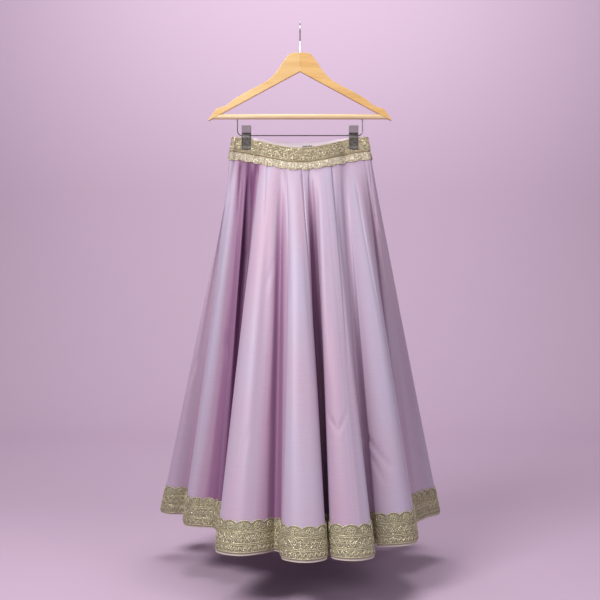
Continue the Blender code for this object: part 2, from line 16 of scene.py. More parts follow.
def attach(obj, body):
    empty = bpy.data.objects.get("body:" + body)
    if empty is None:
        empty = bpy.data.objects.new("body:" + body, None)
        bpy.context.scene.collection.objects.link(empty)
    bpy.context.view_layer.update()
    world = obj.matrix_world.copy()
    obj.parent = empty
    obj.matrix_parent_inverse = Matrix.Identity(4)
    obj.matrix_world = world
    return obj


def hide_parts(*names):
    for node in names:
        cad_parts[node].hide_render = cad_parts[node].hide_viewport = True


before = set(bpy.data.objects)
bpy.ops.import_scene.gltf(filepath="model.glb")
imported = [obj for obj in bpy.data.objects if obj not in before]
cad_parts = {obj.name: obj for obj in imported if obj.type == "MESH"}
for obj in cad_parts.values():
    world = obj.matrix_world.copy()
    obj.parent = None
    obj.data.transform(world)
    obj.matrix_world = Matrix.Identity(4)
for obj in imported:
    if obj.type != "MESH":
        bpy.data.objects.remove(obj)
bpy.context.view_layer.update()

# %% [markdown]
# ## Camera
# A level camera in front of the skirt, as high as its middle. A long lens keeps the hem from
# bulging, as in a studio picture of clothes.


# %% Camera
def add_object(name, data):
    """Put a mesh, curve, camera or light in the scene."""
    thing = bpy.data.objects.new(name, data)
    bpy.context.scene.collection.objects.link(thing)
    return thing


CAMERA_PLACE = (0.0, -2.4, -0.672)
CAMERA_LENS = 59.55

camera_data = bpy.data.cameras.new("camera")
camera_data.lens = CAMERA_LENS
camera = add_object("camera", camera_data)
camera.location = CAMERA_PLACE
camera.rotation_euler = (math.pi / 2, 0.0, 0.0)
bpy.context.scene.camera = camera
print("camera at", CAMERA_PLACE)

# %% [markdown]
# ## The folds of the cloth
# A flared skirt falls in folds: it is narrow and flat at the waist and wavy at the hem. Each row
# below is one fold at the hem. The hem's line is one smooth curve through three points on each
# crest and three round each valley. The waist is another line, and every thread of the satin runs
# straight from a point of the waist to a point of the hem.

# %% Sizes of the cloth
WAIST_TOP_Z = -0.278
BAND_TALL = 0.036
HEM_Z = -1.204
WAIST_HALF_TOP = 0.163
WAIST_HALF_LOW = 0.1695
FRONT_SAG = 0.030
BACK_SAG = 0.011
SAG_HALF_SPAN = 0.165
GORES = 8
FIRST_SEAM = 0.163
CREST_ROUND = 0.28
VALLEY_ROUND = 0.46
HEM_STEPS = 40
SIDE_ROUND = 0.006
WAIST_STEPS = 600
CLOSING_SHARE = 0.725
SATIN_THICK = 0.0009
CLOTH_TALL = abs(HEM_Z - WAIST_TOP_Z) - BAND_TALL

# name, crest x and y, crest across, way it faces in degrees, x and y of the valley after it,
# valley across, share of the waist that the crest hangs from
FOLDS = (
    ("front_left_outer", -0.265, -0.068, 0.116, -48, -0.160, -0.122, 0.040, 0.035),
    ("front_left", -0.128, -0.338, 0.104, -6, -0.054, -0.297, 0.024, 0.155),
    ("front_middle", 0.011, -0.392, 0.086, 2, 0.058, -0.258, 0.028, 0.240),
    ("front_right", 0.111, -0.378, 0.085, 4, 0.150, -0.236, 0.028, 0.328),
    ("front_right_outer", 0.240, -0.245, 0.128, 42, 0.240, -0.048, 0.044, 0.440),
    ("right_side", 0.347, 0.066, 0.086, 78, 0.266, 0.142, 0.036, 0.515),
    ("back_right_outer", 0.288, 0.238, 0.092, 132, 0.192, 0.178, 0.042, 0.585),
    ("back_right", 0.140, 0.316, 0.108, 164, 0.064, 0.202, 0.036, 0.685),
    ("back_middle", -0.024, 0.338, 0.092, 184, -0.080, 0.236, 0.042, 0.765),
    ("back_left", -0.152, 0.304, 0.096, 202, -0.198, 0.172, 0.038, 0.838),
    ("back_left_outer", -0.286, 0.222, 0.086, 234, -0.258, 0.144, 0.032, 0.908),
    ("left_side", -0.350, 0.098, 0.070, 272, -0.262, 0.050, 0.040, 0.968),
)
FOLD_COUNT = len(FOLDS)

# share of half the waist, then the depths of front and back at the top edge and at the seam
WAIST_STATIONS = np.array((
    (0.00, 0.0300, 0.0230, 0.0345, 0.0265),
    (0.32, 0.0245, 0.0190, 0.0290, 0.0225),
    (0.54, 0.0120, 0.0095, 0.0155, 0.0125),
    (0.66, 0.0026, 0.0026, 0.0026, 0.0026),
    (0.91, 0.0026, 0.0026, 0.0026, 0.0026),
    (0.96, 0.0048, 0.0048, 0.0066, 0.0066),
    (1.00, 0.0048, 0.0048, 0.0066, 0.0066),
))
print(FOLD_COUNT, "folds round the hem")


# %% Smooth curves through a few points
def spline_through(points, closed, steps):
    """Centripetal Catmull-Rom curve through the points, as a row of close points."""
    points = np.asarray(points, dtype=float)
    count = len(points)
    if not closed:
        points = np.vstack([2 * points[0] - points[1], points, 2 * points[-1] - points[-2]])
    curve = []
    for i in range(count if closed else count - 1):
        if closed:
            p0, p1, p2, p3 = (points[(i + k - 1) % count] for k in range(4))
        else:
            p0, p1, p2, p3 = points[i:i + 4]
        t1 = math.sqrt(np.linalg.norm(p1 - p0))
        t2 = t1 + math.sqrt(np.linalg.norm(p2 - p1))
        t3 = t2 + math.sqrt(np.linalg.norm(p3 - p2))
        for k in range(steps):
            t = t1 + (t2 - t1) * k / steps
            a1 = ((t1 - t) * p0 + t * p1) / t1
            a2 = ((t2 - t) * p1 + (t - t1) * p2) / (t2 - t1)
            a3 = ((t3 - t) * p2 + (t - t2) * p3) / (t3 - t2)
            b1 = ((t2 - t) * a1 + t * a2) / t2
            b2 = ((t3 - t) * a2 + (t - t1) * a3) / (t3 - t1)
            curve.append(((t2 - t) * b1 + (t - t1) * b2) / (t2 - t1))
    if not closed:
        curve.append(points[-2])
    return np.array(curve)


def read_smooth(x, y, at):
    """Value of a smooth curve through (x, y) that never swings past its points."""
    x = np.asarray(x, dtype=float)
    y = np.asarray(y, dtype=float)
    steps = np.diff(y) / np.diff(x)
    slopes = np.zeros(len(x))
    before, after = steps[:-1], steps[1:]
    same_way = before * after > 0
    slopes[1:-1][same_way] = (2 * before * after)[same_way] / (before + after)[same_way]
    k = np.clip(np.searchsorted(x, at, side="right") - 1, 0, len(x) - 2)
    width = x[k + 1] - x[k]
    t = (at - x[k]) / width
    value = (2 * t**3 - 3 * t**2 + 1) * y[k] + (t**3 - 2 * t**2 + t) * width * slopes[k]
    return value + (3 * t**2 - 2 * t**3) * y[k + 1] + (t**3 - t**2) * width * slopes[k + 1]


class Loop:
    """A closed curve in plan, read by its share of the way round."""

    def __init__(self, curve):
        self.curve = np.vstack([curve, curve[:1]])
        lengths = np.linalg.norm(np.diff(self.curve, axis=0), axis=1)
        self.run = np.concatenate([[0.0], np.cumsum(lengths)])
        self.length = self.run[-1]

    def at(self, share):
        run = (np.asarray(share, dtype=float) % 1.0) * self.length
        return np.stack([np.interp(run, self.run, self.curve[:, axis]) for axis in (0, 1)], axis=-1)


# %% The lines of the hem and the waist
def arched(x, y, across, facing, round_share):
    """Three points of an arch: its left shoulder, its middle and its right shoulder."""
    angle = math.radians(facing)
    along = np.array([math.cos(angle), math.sin(angle)])
    outward = np.array([math.sin(angle), -math.cos(angle)])
    middle = np.array([x, y])
    fall = outward * across * round_share
    return [middle - along * across / 2 - fall, middle, middle + along * across / 2 - fall]


def hem_control_points():
    """Three points on each crest and three round each valley, all round the hem."""
    points = []
    for fold, following in zip(FOLDS, FOLDS[1:] + FOLDS[:1]):
        x, y, across, facing, valley_x, valley_y, valley_across = fold[1:8]
        turn = (following[4] - facing + 180) % 360 - 180
        points += arched(x, y, across, facing, CREST_ROUND)
        points += arched(valley_x, valley_y, valley_across, facing + turn / 2, -VALLEY_ROUND)
    return points


def waist_curve(half_width, front, back):
    """The waist in plan. Front and back are columns of WAIST_STATIONS."""
    places = WAIST_STATIONS[:, 0] * half_width
    x = -half_width * np.cos(np.linspace(0.0, math.pi, WAIST_STEPS))
    end = np.clip((np.abs(x) - half_width + SIDE_ROUND) / SIDE_ROUND, 0.0, 1.0)
    closing = np.sqrt(1 - end**2)
    sides = [np.stack([x, way * closing * read_smooth(places, WAIST_STATIONS[:, column], np.abs(x))],
                      axis=1)
             for column, way in ((front, -1), (back, 1))]
    return np.vstack([sides[0], sides[1][-2:0:-1]])


HEM = Loop(spline_through(hem_control_points(), closed=True, steps=HEM_STEPS))
WAIST_TOP = Loop(waist_curve(WAIST_HALF_TOP, 1, 2))
WAIST_LOW = Loop(waist_curve(WAIST_HALF_LOW, 3, 4))
print("hem", round(HEM.length, 3), "m round, waist", round(WAIST_TOP.length, 3), "m")

# %% Where each fold hangs from
TURNS = (-1, 0, 1)
CREST_SHARES = np.array([HEM.run[(6 * i + 1) * HEM_STEPS] for i in range(FOLD_COUNT)]) / HEM.length
VALLEY_SHARES = np.array([HEM.run[(6 * i + 4) * HEM_STEPS] for i in range(FOLD_COUNT)]) / HEM.length
HUNG_SHARES = np.array([fold[8] for fold in FOLDS])
FOLD_SHARES = np.sort(np.concatenate([CREST_SHARES, VALLEY_SHARES]))


def waist_share(hem_share):
    """Where on the waist the cloth at this share of the hem hangs from."""
    share = np.asarray(hem_share, dtype=float)
    turn = np.floor(share)
    shares = np.concatenate([CREST_SHARES + t for t in TURNS])
    hung = np.concatenate([HUNG_SHARES + t for t in TURNS])
    return read_smooth(shares, hung, share - turn) + turn


def fold_place(share):
    """Folds counted round the hem: 2 is the crest of fold 2, and 2.5 the valley after it."""
    share = np.asarray(share, dtype=float)
    shares = np.concatenate([FOLD_SHARES + t for t in TURNS])
    places = np.arange(len(shares)) / 2 - FOLD_COUNT
    return np.interp(share % 1.0, shares, places)


def share_of(place):
    """The hem share of a counted fold, the other way round."""
    places = np.arange(2 * FOLD_COUNT + 1) / 2
    return np.interp(place % FOLD_COUNT, places, np.append(FOLD_SHARES, FOLD_SHARES[0] + 1))


def waist_edge_z(share):
    """Height of the waistband's top edge, which sags between the clips, more in front."""
    share = np.asarray(share, dtype=float) % 1.0
    sag = np.where(share < 0.5, FRONT_SAG, BACK_SAG)
    reach = np.clip(np.abs(WAIST_TOP.at(share)[..., 0]) / SAG_HALF_SPAN, 0.0, 1.0)
    return WAIST_TOP_Z - sag * np.cos(reach * math.pi / 2) ** 2


print("crests at", np.round(CREST_SHARES, 3))


# %% The two smooth surfaces, waistband and skirt
def band_surface(share, down):
    """A point of the waistband: share of the way round, and 0 at its top edge to 1 at the seam."""
    plan = (1 - down)[..., None] * WAIST_TOP.at(share) + down[..., None] * WAIST_LOW.at(share)
    height = waist_edge_z(share) - down * BAND_TALL
    return np.concatenate([plan, height[..., None]], axis=-1)


def skirt_surface(hem_share, down):
    """A point of the uncreased skirt: share of the hem, and 0 at the waist seam to 1 at the hem."""
    share = waist_share(hem_share)
    plan = (1 - down)[..., None] * WAIST_LOW.at(share) + down[..., None] * HEM.at(hem_share)
    height = (1 - down) * (waist_edge_z(share) - BAND_TALL) + down * HEM_Z
    return np.concatenate([plan, height[..., None]], axis=-1)


SHARE_STEP = 0.0006
DOWN_STEP = 0.004


def outward_normals(surface, share, down):
    """The way out of a surface, one metre long, from the slopes round it and down it."""
    round_way = surface(share + SHARE_STEP, down) - surface(share - SHARE_STEP, down)
    down_way = surface(share, down + DOWN_STEP) - surface(share, down - DOWN_STEP)
    normal = np.cross(down_way, round_way)
    return normal / np.linalg.norm(normal, axis=-1, keepdims=True)


# %% [markdown]
# ## Creases placed one by one
# Satin is stiff enough to crease. Long soft troughs run down from the gathered waist, the valleys
# bite deeper under the band than a straight thread would, and short slanting puckers show where
# the cloth was folded away. Each row below is one such crease: where it lies, how far down it
# begins and ends, how far it leans, and its width and depth. A simulation would give other folds
# than this skirt's own, so the creases are set one by one.

# %% Creases
# place in folds, start and end of the way down, lean, width and depth in metres
LONG_CREASES = (
    (0.18, 0.04, 0.86, 0.010, 0.0130, -0.0032),
    (0.80, 0.05, 1.10, -0.006, 0.0120, 0.0034),
    (1.12, 0.10, 0.95, 0.004, 0.0150, -0.0026),
    (1.28, 0.03, 0.70, 0.008, 0.0100, 0.0028),
    (1.72, 0.03, 0.88, 0.004, 0.0110, -0.0034),
    (1.90, 0.20, 1.10, -0.008, 0.0160, 0.0030),
    (2.14, 0.04, 0.62, 0.006, 0.0100, -0.0024),
    (2.28, 0.45, 1.10, 0.000, 0.0130, 0.0026),
    (2.86, 0.03, 0.60, -0.004, 0.0100, 0.0030),
    (3.10, 0.16, 1.10, 0.006, 0.0140, -0.0028),
    (3.30, 0.03, 0.46, 0.004, 0.0090, -0.0026),
    (3.78, 0.04, 0.98, 0.010, 0.0150, -0.0036),
    (4.06, 0.25, 1.10, 0.004, 0.0180, 0.0032),
    (4.26, 0.05, 0.76, 0.008, 0.0130, -0.0030),
    (4.90, 0.06, 1.10, -0.006, 0.0130, 0.0030),
    (5.16, 0.10, 0.85, 0.004, 0.0120, -0.0028),
    (5.86, 0.04, 0.90, 0.006, 0.0150, -0.0032),
    (6.10, 0.30, 1.10, -0.006, 0.0160, 0.0034),
    (6.84, 0.03, 0.72, 0.010, 0.0120, -0.0030),
    (7.04, 0.12, 1.10, -0.004, 0.0180, 0.0030),
    (7.24, 0.05, 0.94, 0.006, 0.0120, -0.0028),
    (7.88, 0.04, 0.66, -0.006, 0.0100, -0.0026),
    (8.10, 0.20, 1.10, 0.004, 0.0150, 0.0032),
    (8.80, 0.03, 0.88, 0.008, 0.0130, -0.0030),
    (9.08, 0.14, 1.10, -0.006, 0.0160, 0.0030),
    (9.28, 0.06, 0.60, 0.004, 0.0100, -0.0026),
    (9.90, 0.05, 0.92, 0.006, 0.0140, -0.0032),
    (10.20, 0.22, 1.10, 0.000, 0.0140, 0.0028),
    (10.86, 0.04, 0.80, -0.008, 0.0120, -0.0028),
    (11.10, 0.18, 1.10, 0.006, 0.0130, 0.0030),
    (11.80, 0.05, 0.96, 0.008, 0.0150, -0.0034),
)
# place and way down at the start, the same at the end, width and depth
PUCKERS = (
    (2.83, 0.662, 2.95, 0.712, 0.0036, -0.0019),
    (3.04, 0.664, 2.95, 0.712, 0.0036, -0.0019),
    (3.56, 0.715, 3.90, 0.820, 0.0060, -0.0036),
    (3.58, 0.745, 3.74, 0.800, 0.0050, 0.0022),
    (3.62, 0.752, 3.80, 0.850, 0.0050, -0.0026),
    (4.66, 0.780, 4.97, 0.852, 0.0056, -0.0032),
    (1.34, 0.270, 1.12, 0.360, 0.0040, -0.0008),
    (1.40, 0.300, 1.20, 0.390, 0.0040, 0.0006),
    (1.02, 0.700, 0.94, 0.820, 0.0070, -0.0010),
    (0.18, 0.480, 0.30, 0.600, 0.0060, -0.0022),
    (11.20, 0.560, 11.10, 0.660, 0.0060, -0.0026),
    (5.00, 0.420, 5.10, 0.540, 0.0060, -0.0026),
    (6.16, 0.520, 6.04, 0.640, 0.0060, -0.0028),
    (7.04, 0.330, 7.16, 0.440, 0.0060, -0.0024),
    (7.04, 0.640, 6.96, 0.700, 0.0056, -0.0024),
    (7.98, 0.700, 8.12, 0.820, 0.0060, -0.0028),
    (9.08, 0.240, 8.96, 0.360, 0.0060, -0.0024),
    (9.06, 0.600, 9.18, 0.690, 0.0056, -0.0024),
    (10.10, 0.420, 10.00, 0.520, 0.0056, -0.0024),
)
# narrow pleats that start in the waist seam, each with one sharp side: the ends, the width and
# depth, and the side that is sharp, 1 for the one further round
PLEATS = (
    (0.74, 0.030, 0.80, 0.560, 0.0110, -0.0060, 1),
    (0.16, 0.020, 0.24, 0.400, 0.0090, -0.0042, 1),
    (0.93, 0.014, 0.98, 0.200, 0.0050, -0.0016, 1),
    (1.66, 0.014, 1.86, 0.400, 0.0070, -0.0022, 1),
    (2.17, 0.014, 2.32, 0.420, 0.0080, -0.0050, 1),
    (2.46, 0.012, 2.34, 0.170, 0.0050, -0.0030, -1),
    (3.22, 0.012, 3.10, 0.560, 0.0090, -0.0044, -1),
    (3.96, 0.080, 4.04, 0.480, 0.0080, -0.0028, 1),
    (4.62, 0.016, 4.60, 0.560, 0.0100, -0.0044, 1),
    (4.56, 0.110, 4.80, 0.400, 0.0060, -0.0028, -1),
    (5.30, 0.012, 5.40, 0.360, 0.0080, -0.0036, 1),
    (5.74, 0.014, 5.62, 0.240, 0.0060, -0.0028, -1),
    (6.34, 0.012, 6.42, 0.420, 0.0080, -0.0038, 1),
    (6.92, 0.014, 6.86, 0.260, 0.0060, -0.0026, -1),
    (7.30, 0.012, 7.40, 0.340, 0.0080, -0.0036, 1),
    (7.76, 0.014, 7.66, 0.220, 0.0060, -0.0028, -1),
    (8.36, 0.012, 8.44, 0.380, 0.0080, -0.0036, 1),
    (8.94, 0.014, 8.88, 0.240, 0.0060, -0.0026, -1),
    (9.32, 0.012, 9.42, 0.320, 0.0080, -0.0036, 1),
    (10.34, 0.012, 10.42, 0.400, 0.0080, -0.0036, 1),
    (10.78, 0.014, 10.66, 0.220, 0.0060, -0.0028, -1),
    (11.36, 0.012, 11.44, 0.360, 0.0080, -0.0036, 1),
)
SHARP_SIDE = 0.22            # the sharp side's share of a pleat's width
MIDDLE_SPAN = 0.130          # half the length of the line that front and back close on
DEEPEST_CREASE = 0.55        # of the way from the straight cloth to that line
# how far each valley bites in under the band, in metres, the valley after fold 0 first
VALLEY_BITES = (0.020, 0.006, 0.015, 0.003, 0.008, 0.008, 0.012, 0.010, 0.012, 0.011, 0.008, 0.008)
BITE_WIDTH = 0.017           # at the hem's scale
BITE_START = 0.024           # of the way down, at the trim's lower edge: nothing bites above it
BITE_TOP = 0.26              # of the way down, about where the bite is deepest


def round_at(down):
    """Length of the cloth round the body at this height."""
    return (1 - down) * WAIST_LOW.length + down * HEM.length


def add_crease(relief, share, down, row):
    """A long soft trough or ridge."""
    place, start, end, lean, width, depth = row
    t = np.clip((down - start) / (end - start), 0.0, 1.0)
    off = (share - share_of(place) + 0.5) % 1.0 - 0.5
    off = off * round_at(down) - lean * (t - 0.5)
    return relief + depth * np.sin(math.pi * t) ** 0.8 * np.exp(-(off / width) ** 2)


def off_line(share, down, place, start, end_place, end):
    """How far along the line each point is, and how far to the side of it in metres."""
    t = np.clip((down - start) / (end - start), 0.0, 1.0)
    first = share_of(place)
    turn = (share_of(end_place) - first + 0.5) % 1.0 - 0.5
    off = (share - first - turn * t + 0.5) % 1.0 - 0.5
    return t, off * round_at(down)


def add_pucker(relief, share, down, row):
    """A short crease between two given places."""
    *line, width, depth = row
    t, off = off_line(share, down, *line)
    return relief + depth * np.sin(math.pi * t) ** 0.6 * np.exp(-(off / width) ** 2)


def add_pleat(relief, share, down, row):
    """A narrow pleat that is soft on one side and sharp on the other."""
    *line, width, depth, sharp = row
    t, off = off_line(share, down, *line)
    side = np.where(off * sharp > 0, SHARP_SIDE, 1.0) * width * (0.45 + 0.55 * t)
    strength = np.minimum(t / 0.06, 1.0) * (1 - t) ** 0.7
    return relief + depth * strength * np.exp(-(off / side) ** 2)


def relief_at(share, down):
    """How far the cloth stands out from the straight threads, in metres."""
    relief = np.zeros(np.broadcast(share, down).shape)
    for rows, add in ((LONG_CREASES, add_crease), (PUCKERS, add_pucker), (PLEATS, add_pleat)):
        for row in rows:
            relief = add(relief, share, down, row)
    rise = np.clip((down - BITE_START) / BITE_TOP, 0.0, 1.0)
    fall = np.clip((1 - down) / (1 - BITE_TOP), 0.0, 1.0)
    strength = np.sin(rise * math.pi / 2) * fall**1.2
    for valley, bite in zip(VALLEY_SHARES, VALLEY_BITES):
        off = ((share - valley + 0.5) % 1.0 - 0.5) * round_at(down)
        width = BITE_WIDTH * (0.35 + 0.65 * down)
        relief = relief - bite * strength * np.exp(-(off / width) ** 2)
    return relief


def cloth_point(share, down, lift=0.0):
    """A point of the creased satin, raised by lift. No crease reaches the other layer."""
    share, down = np.broadcast_arrays(np.asarray(share, dtype=float), np.asarray(down, dtype=float))
    straight = skirt_surface(share, down)
    beyond = np.maximum(np.abs(straight[..., 0]) - MIDDLE_SPAN, 0.0)
    room = np.hypot(beyond, straight[..., 1])
    raised = np.maximum(relief_at(share, down), -DEEPEST_CREASE * room) + lift
    return straight + outward_normals(skirt_surface, share, down) * raised[..., None]


print(len(LONG_CREASES), "long creases,", len(PLEATS), "pleats and", len(PUCKERS), "puckers")

# %% [markdown]
# ## How deep each point lies in its fold
# The satin's colour changes with its fold, and the valleys are darkened with painted shade, so the
# materials need to know where the crests and valleys are. At each height the cloth's outline is
# compared with a band stretched round it, which is its convex hull. A point that touches the band is
# on a crest, and one far behind it is in a valley. The result is kept in a table and read by share
# and height.

# %% Depth in the fold
DEPTH_COLUMNS = 720
DEPTH_LEVELS = 49
FULL_DEPTH = (0.016, 0.094)  # depth of a full valley at the waist, and how much more at the hem
# how dark each valley's painted shade is, the valley after fold 0 first: some stand open and some are shut
VALLEY_SHADE_TONES = (1.70, 1.25, 0.58, 0.42, 0.80, 0.85, 0.95, 1.00, 0.90, 1.00, 0.95, 1.05)


def behind_hull(outline):
    """How far each point of a closed outline lies inside its convex hull."""
    order = np.lexsort((outline[:, 1], outline[:, 0]))
    hull = []
    for way in (order, order[::-1]):
        side = []
        for index in way:
            while len(side) > 1:
                a, b, c = outline[side[-2]], outline[side[-1]], outline[index]
                if (b[0] - a[0]) * (c[1] - a[1]) > (b[1] - a[1]) * (c[0] - a[0]):
                    break
                side.pop()
            side.append(index)
        hull += side[:-1]
    corners = outline[hull]
    edges = np.roll(corners, -1, axis=0) - corners
    outward = np.stack([edges[:, 1], -edges[:, 0]], axis=1) / np.linalg.norm(edges, axis=1)[:, None]
    return ((corners * outward).sum(axis=1) - outline @ outward.T).min(axis=1)


def depth_table():
    """Depth in the fold, a row for each height and a column for each share of the hem."""
    shares = np.arange(DEPTH_COLUMNS) / DEPTH_COLUMNS
    levels = np.linspace(0.0, 1.0, DEPTH_LEVELS)
    rows = [behind_hull(cloth_point(shares, level)[:, :2]) / (FULL_DEPTH[0] + FULL_DEPTH[1] * level)
            for level in levels]
    table = np.array(rows)
    return np.hstack([table, table[:, :1]])


DEPTHS = depth_table()


def fold_depth(share, down):
    """0 on a crest, and 1 or more deep in a valley, scaled by the valley's painted shade tone."""
    across = (share % 1.0) * DEPTH_COLUMNS
    below = np.clip(down, 0.0, 1.0) * (DEPTH_LEVELS - 1)
    column = np.minimum(across.astype(int), DEPTH_COLUMNS - 1)
    row = np.minimum(below.astype(int), DEPTH_LEVELS - 2)
    u, v = across - column, below - row
    upper = DEPTHS[row, column] * (1 - u) + DEPTHS[row, column + 1] * u
    lower = DEPTHS[row + 1, column] * (1 - u) + DEPTHS[row + 1, column + 1] * u
    places = np.arange(-1, FOLD_COUNT + 1) + 0.5
    tones = (VALLEY_SHADE_TONES[-1],) + VALLEY_SHADE_TONES + VALLEY_SHADE_TONES[:1]
    tones = np.interp(fold_place(share), places, tones)
    return (upper * (1 - v) + lower * v) * tones


print("deepest valleys by height", np.round(DEPTHS.max(axis=1)[::8], 2))

# %% [markdown]
# ## A sheet of cloth as a mesh
# Every cloth piece here is a grid of points laid on a surface. A UV map in real metres goes with
# it, so that threads and seams keep their size wherever the cloth turns. A Solidify modifier gives
# the sheet its thickness.


# %% Sheets
CUT_EDGE_ANGLE = math.radians(55)
# metres of cloth that a radian of turning counts as, where columns are spaced
GORE_TURN_WEIGHT = 0.030
BAND_TURN_WEIGHT = 0.012


def link_piece(name, mesh, material, slot, *nodes):
    """Put a finished mesh in the scene as a piece that stands for the named solids."""
    piece = add_object(name, mesh)
    mesh.materials.clear()
    mesh.materials.append(material)
    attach(piece, "root")
    if nodes:
        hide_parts(*nodes)
    return piece


def grid_mesh(name, points, cloth_uv, masks):
    """A grid of points with a UV map in metres. Row 0 is the upper edge."""
    rows, columns = points.shape[:2]
    bm = bmesh.new()
    bmesh.ops.create_grid(bm, x_segments=columns - 1, y_segments=rows - 1, size=1.0)
    mesh = bpy.data.meshes.new(name)
    bm.to_mesh(mesh)
    bm.free()
    mesh.vertices.foreach_set("co", points[::-1].reshape(-1).astype(np.float32))
    corners = np.empty(len(mesh.loops), dtype=np.int32)
    mesh.loops.foreach_get("vertex_index", corners)
    layer = mesh.uv_layers.new(name="cloth")
    layer.data.foreach_set("uv", cloth_uv[::-1].reshape(-1, 2)[corners].reshape(-1).astype(np.float32))
    for mask, values in masks.items():
        attribute = mesh.attributes.new(mask, "FLOAT", "POINT")
        attribute.data.foreach_set("value", values[::-1].reshape(-1).astype(np.float32))
    mesh.shade_smooth()
    mesh.update()
    return mesh


def thicken(piece, thickness, offset):
    """Give a sheet its thickness, and keep its cut edges from shading round."""
    wall = piece.modifiers.new("thickness", "SOLIDIFY")
    wall.thickness = thickness
    wall.offset = offset
    edges = piece.modifiers.new("cut_edges", "EDGE_SPLIT")
    edges.split_angle = CUT_EDGE_ANGLE
    edges.use_edge_sharp = False


def grid_area(points):
    """Area of a grid of points, each cell as two triangles."""
    a, b, c, d = points[:-1, :-1], points[:-1, 1:], points[1:, 1:], points[1:, :-1]
    crossed = (np.cross(b - a, c - a), np.cross(c - a, d - a))
    return float(sum(np.linalg.norm(cross, axis=-1).sum() for cross in crossed) / 2)


def even_shares(loop, start, end, count, turn_weight):
    """Columns between two shares of a loop, closer together where it turns."""
    fine = np.linspace(start, end, 40 * count)
    step = np.diff(loop.at(fine), axis=0)
    heading = np.unwrap(np.arctan2(step[:, 1], step[:, 0]))
    weight = np.linalg.norm(step, axis=1) + turn_weight * np.abs(np.gradient(heading))
    run = np.concatenate([[0.0], np.cumsum(weight)])
    return np.interp(np.linspace(0.0, run[-1], count + 1), run, fine)


# %% [markdown]
# ## Effects that several finishes share
# Small helpers add one shader node each, so that a finish reads as a few lines. The satin, the
# facing and the gold tissue are all woven, so they share one node group, which makes fine crossed
# threads with slubs from the UV map.


# %% Node helpers
def new_group(name, inputs, outputs):
    """An empty shader group with its sockets, and its input and output nodes."""
    group = bpy.data.node_groups.new(name, "ShaderNodeTree")
    for title, kind, value in inputs:
        socket = group.interface.new_socket(name=title, in_out="INPUT", socket_type=kind)
        if value is not None:
            socket.default_value = value
    for title, kind in outputs:
        group.interface.new_socket(name=title, in_out="OUTPUT", socket_type=kind)
    return group, group.nodes.new("NodeGroupInput"), group.nodes.new("NodeGroupOutput")


def math_node(tree, operation, first, second=None):
    """A Math node, fed by sockets or by plain numbers."""
    node = tree.nodes.new("ShaderNodeMath")
    node.operation = operation
    for socket, value in zip(node.inputs, (first, second)):
        if value is None:
            continue
        if isinstance(value, (int, float)):
            socket.default_value = value
        else:
            tree.links.new(value, socket)
    return node.outputs[0]


def noise_node(tree, vector, scale, detail=3.0, roughness=0.5):
    """A Noise Texture node."""
    node = tree.nodes.new("ShaderNodeTexNoise")
    node.inputs["Scale"].default_value = scale
    node.inputs["Detail"].default_value = detail
    node.inputs["Roughness"].default_value = roughness
    tree.links.new(vector, node.inputs["Vector"])
    return node.outputs[0]


def stretched(tree, vector, scale):
    """A Mapping node that only scales, so that a noise runs long one way."""
    node = tree.nodes.new("ShaderNodeMapping")
    node.inputs["Scale"].default_value = scale
    tree.links.new(vector, node.inputs["Vector"])
    return node.outputs[0]


def mixed(tree, amount, first, second):
    """A colour Mix node. The two colours are sockets or plain RGB values."""
    node = tree.nodes.new("ShaderNodeMix")
    node.data_type = "RGBA"
    for socket, value in ((node.inputs[0], amount), (node.inputs[6], first), (node.inputs[7], second)):
        if isinstance(value, tuple):
            socket.default_value = (*value, 1.0)
        elif isinstance(value, (int, float)):
            socket.default_value = value
        else:
            tree.links.new(value, socket)
    return node.outputs[2]


def fitted(tree, value, low, high, to_low=0.0, to_high=1.0):
    """A Map Range node from one span of numbers to another, held inside its ends."""
    node = tree.nodes.new("ShaderNodeMapRange")
    node.inputs["From Min"].default_value = low
    node.inputs["From Max"].default_value = high
    node.inputs["To Min"].default_value = to_low
    node.inputs["To Max"].default_value = to_high
    tree.links.new(value, node.inputs["Value"])
    return node.outputs[0]


# %% The weave group
SATIN_THREADS = 1400.0       # threads in a metre
TISSUE_THREADS = 700.0


def build_weave_group():
    """Fine crossed threads with slubs, from a UV map in metres."""
    group, given, result = new_group(
        "woven_threads",
        [("Vector", "NodeSocketVector", None), ("Threads per metre", "NodeSocketFloat", SATIN_THREADS)],
        [("Height", "NodeSocketFloat"), ("Slub", "NodeSocketFloat")])
    parts = group.nodes.new("ShaderNodeSeparateXYZ")
    group.links.new(given.outputs["Vector"], parts.inputs[0])
    turn = math_node(group, "MULTIPLY", given.outputs["Threads per metre"], 2 * math.pi)
    warp = math_node(group, "SINE", math_node(group, "MULTIPLY", parts.outputs["X"], turn))
    weft = math_node(group, "SINE", math_node(group, "MULTIPLY", parts.outputs["Y"], turn))
    height = math_node(group, "ADD", math_node(group, "MULTIPLY", warp, 0.3), weft)
    group.links.new(fitted(group, height, -1.3, 1.3), result.inputs["Height"])
    slubs = noise_node(group, stretched(group, given.outputs["Vector"], (14.0, 520.0, 1.0)), 1.0, 2.0)
    group.links.new(slubs, result.inputs["Slub"])
    return group


WEAVE = build_weave_group()
print("groups:", WEAVE.name)


# %% Principled materials
def start_material(name, **plain):
    """A material with its Principled shader, with the plain sockets set."""
    material = bpy.data.materials.new(name)
    material.use_nodes = True
    shader = material.node_tree.nodes["Principled BSDF"]
    for socket, value in plain.items():
        shader.inputs[socket.replace("_", " ")].default_value = value
    return material, material.node_tree, shader


def use_bump(tree, shader, height, strength, distance):
    bump = tree.nodes.new("ShaderNodeBump")
    bump.inputs["Strength"].default_value = strength
    bump.inputs["Distance"].default_value = distance
    tree.links.new(height, bump.inputs["Height"])
    tree.links.new(bump.outputs["Normal"], shader.inputs["Normal"])


def cloth_uv_of(tree):
    node = tree.nodes.new("ShaderNodeUVMap")
    node.uv_map = "cloth"
    return node.outputs["UV"]


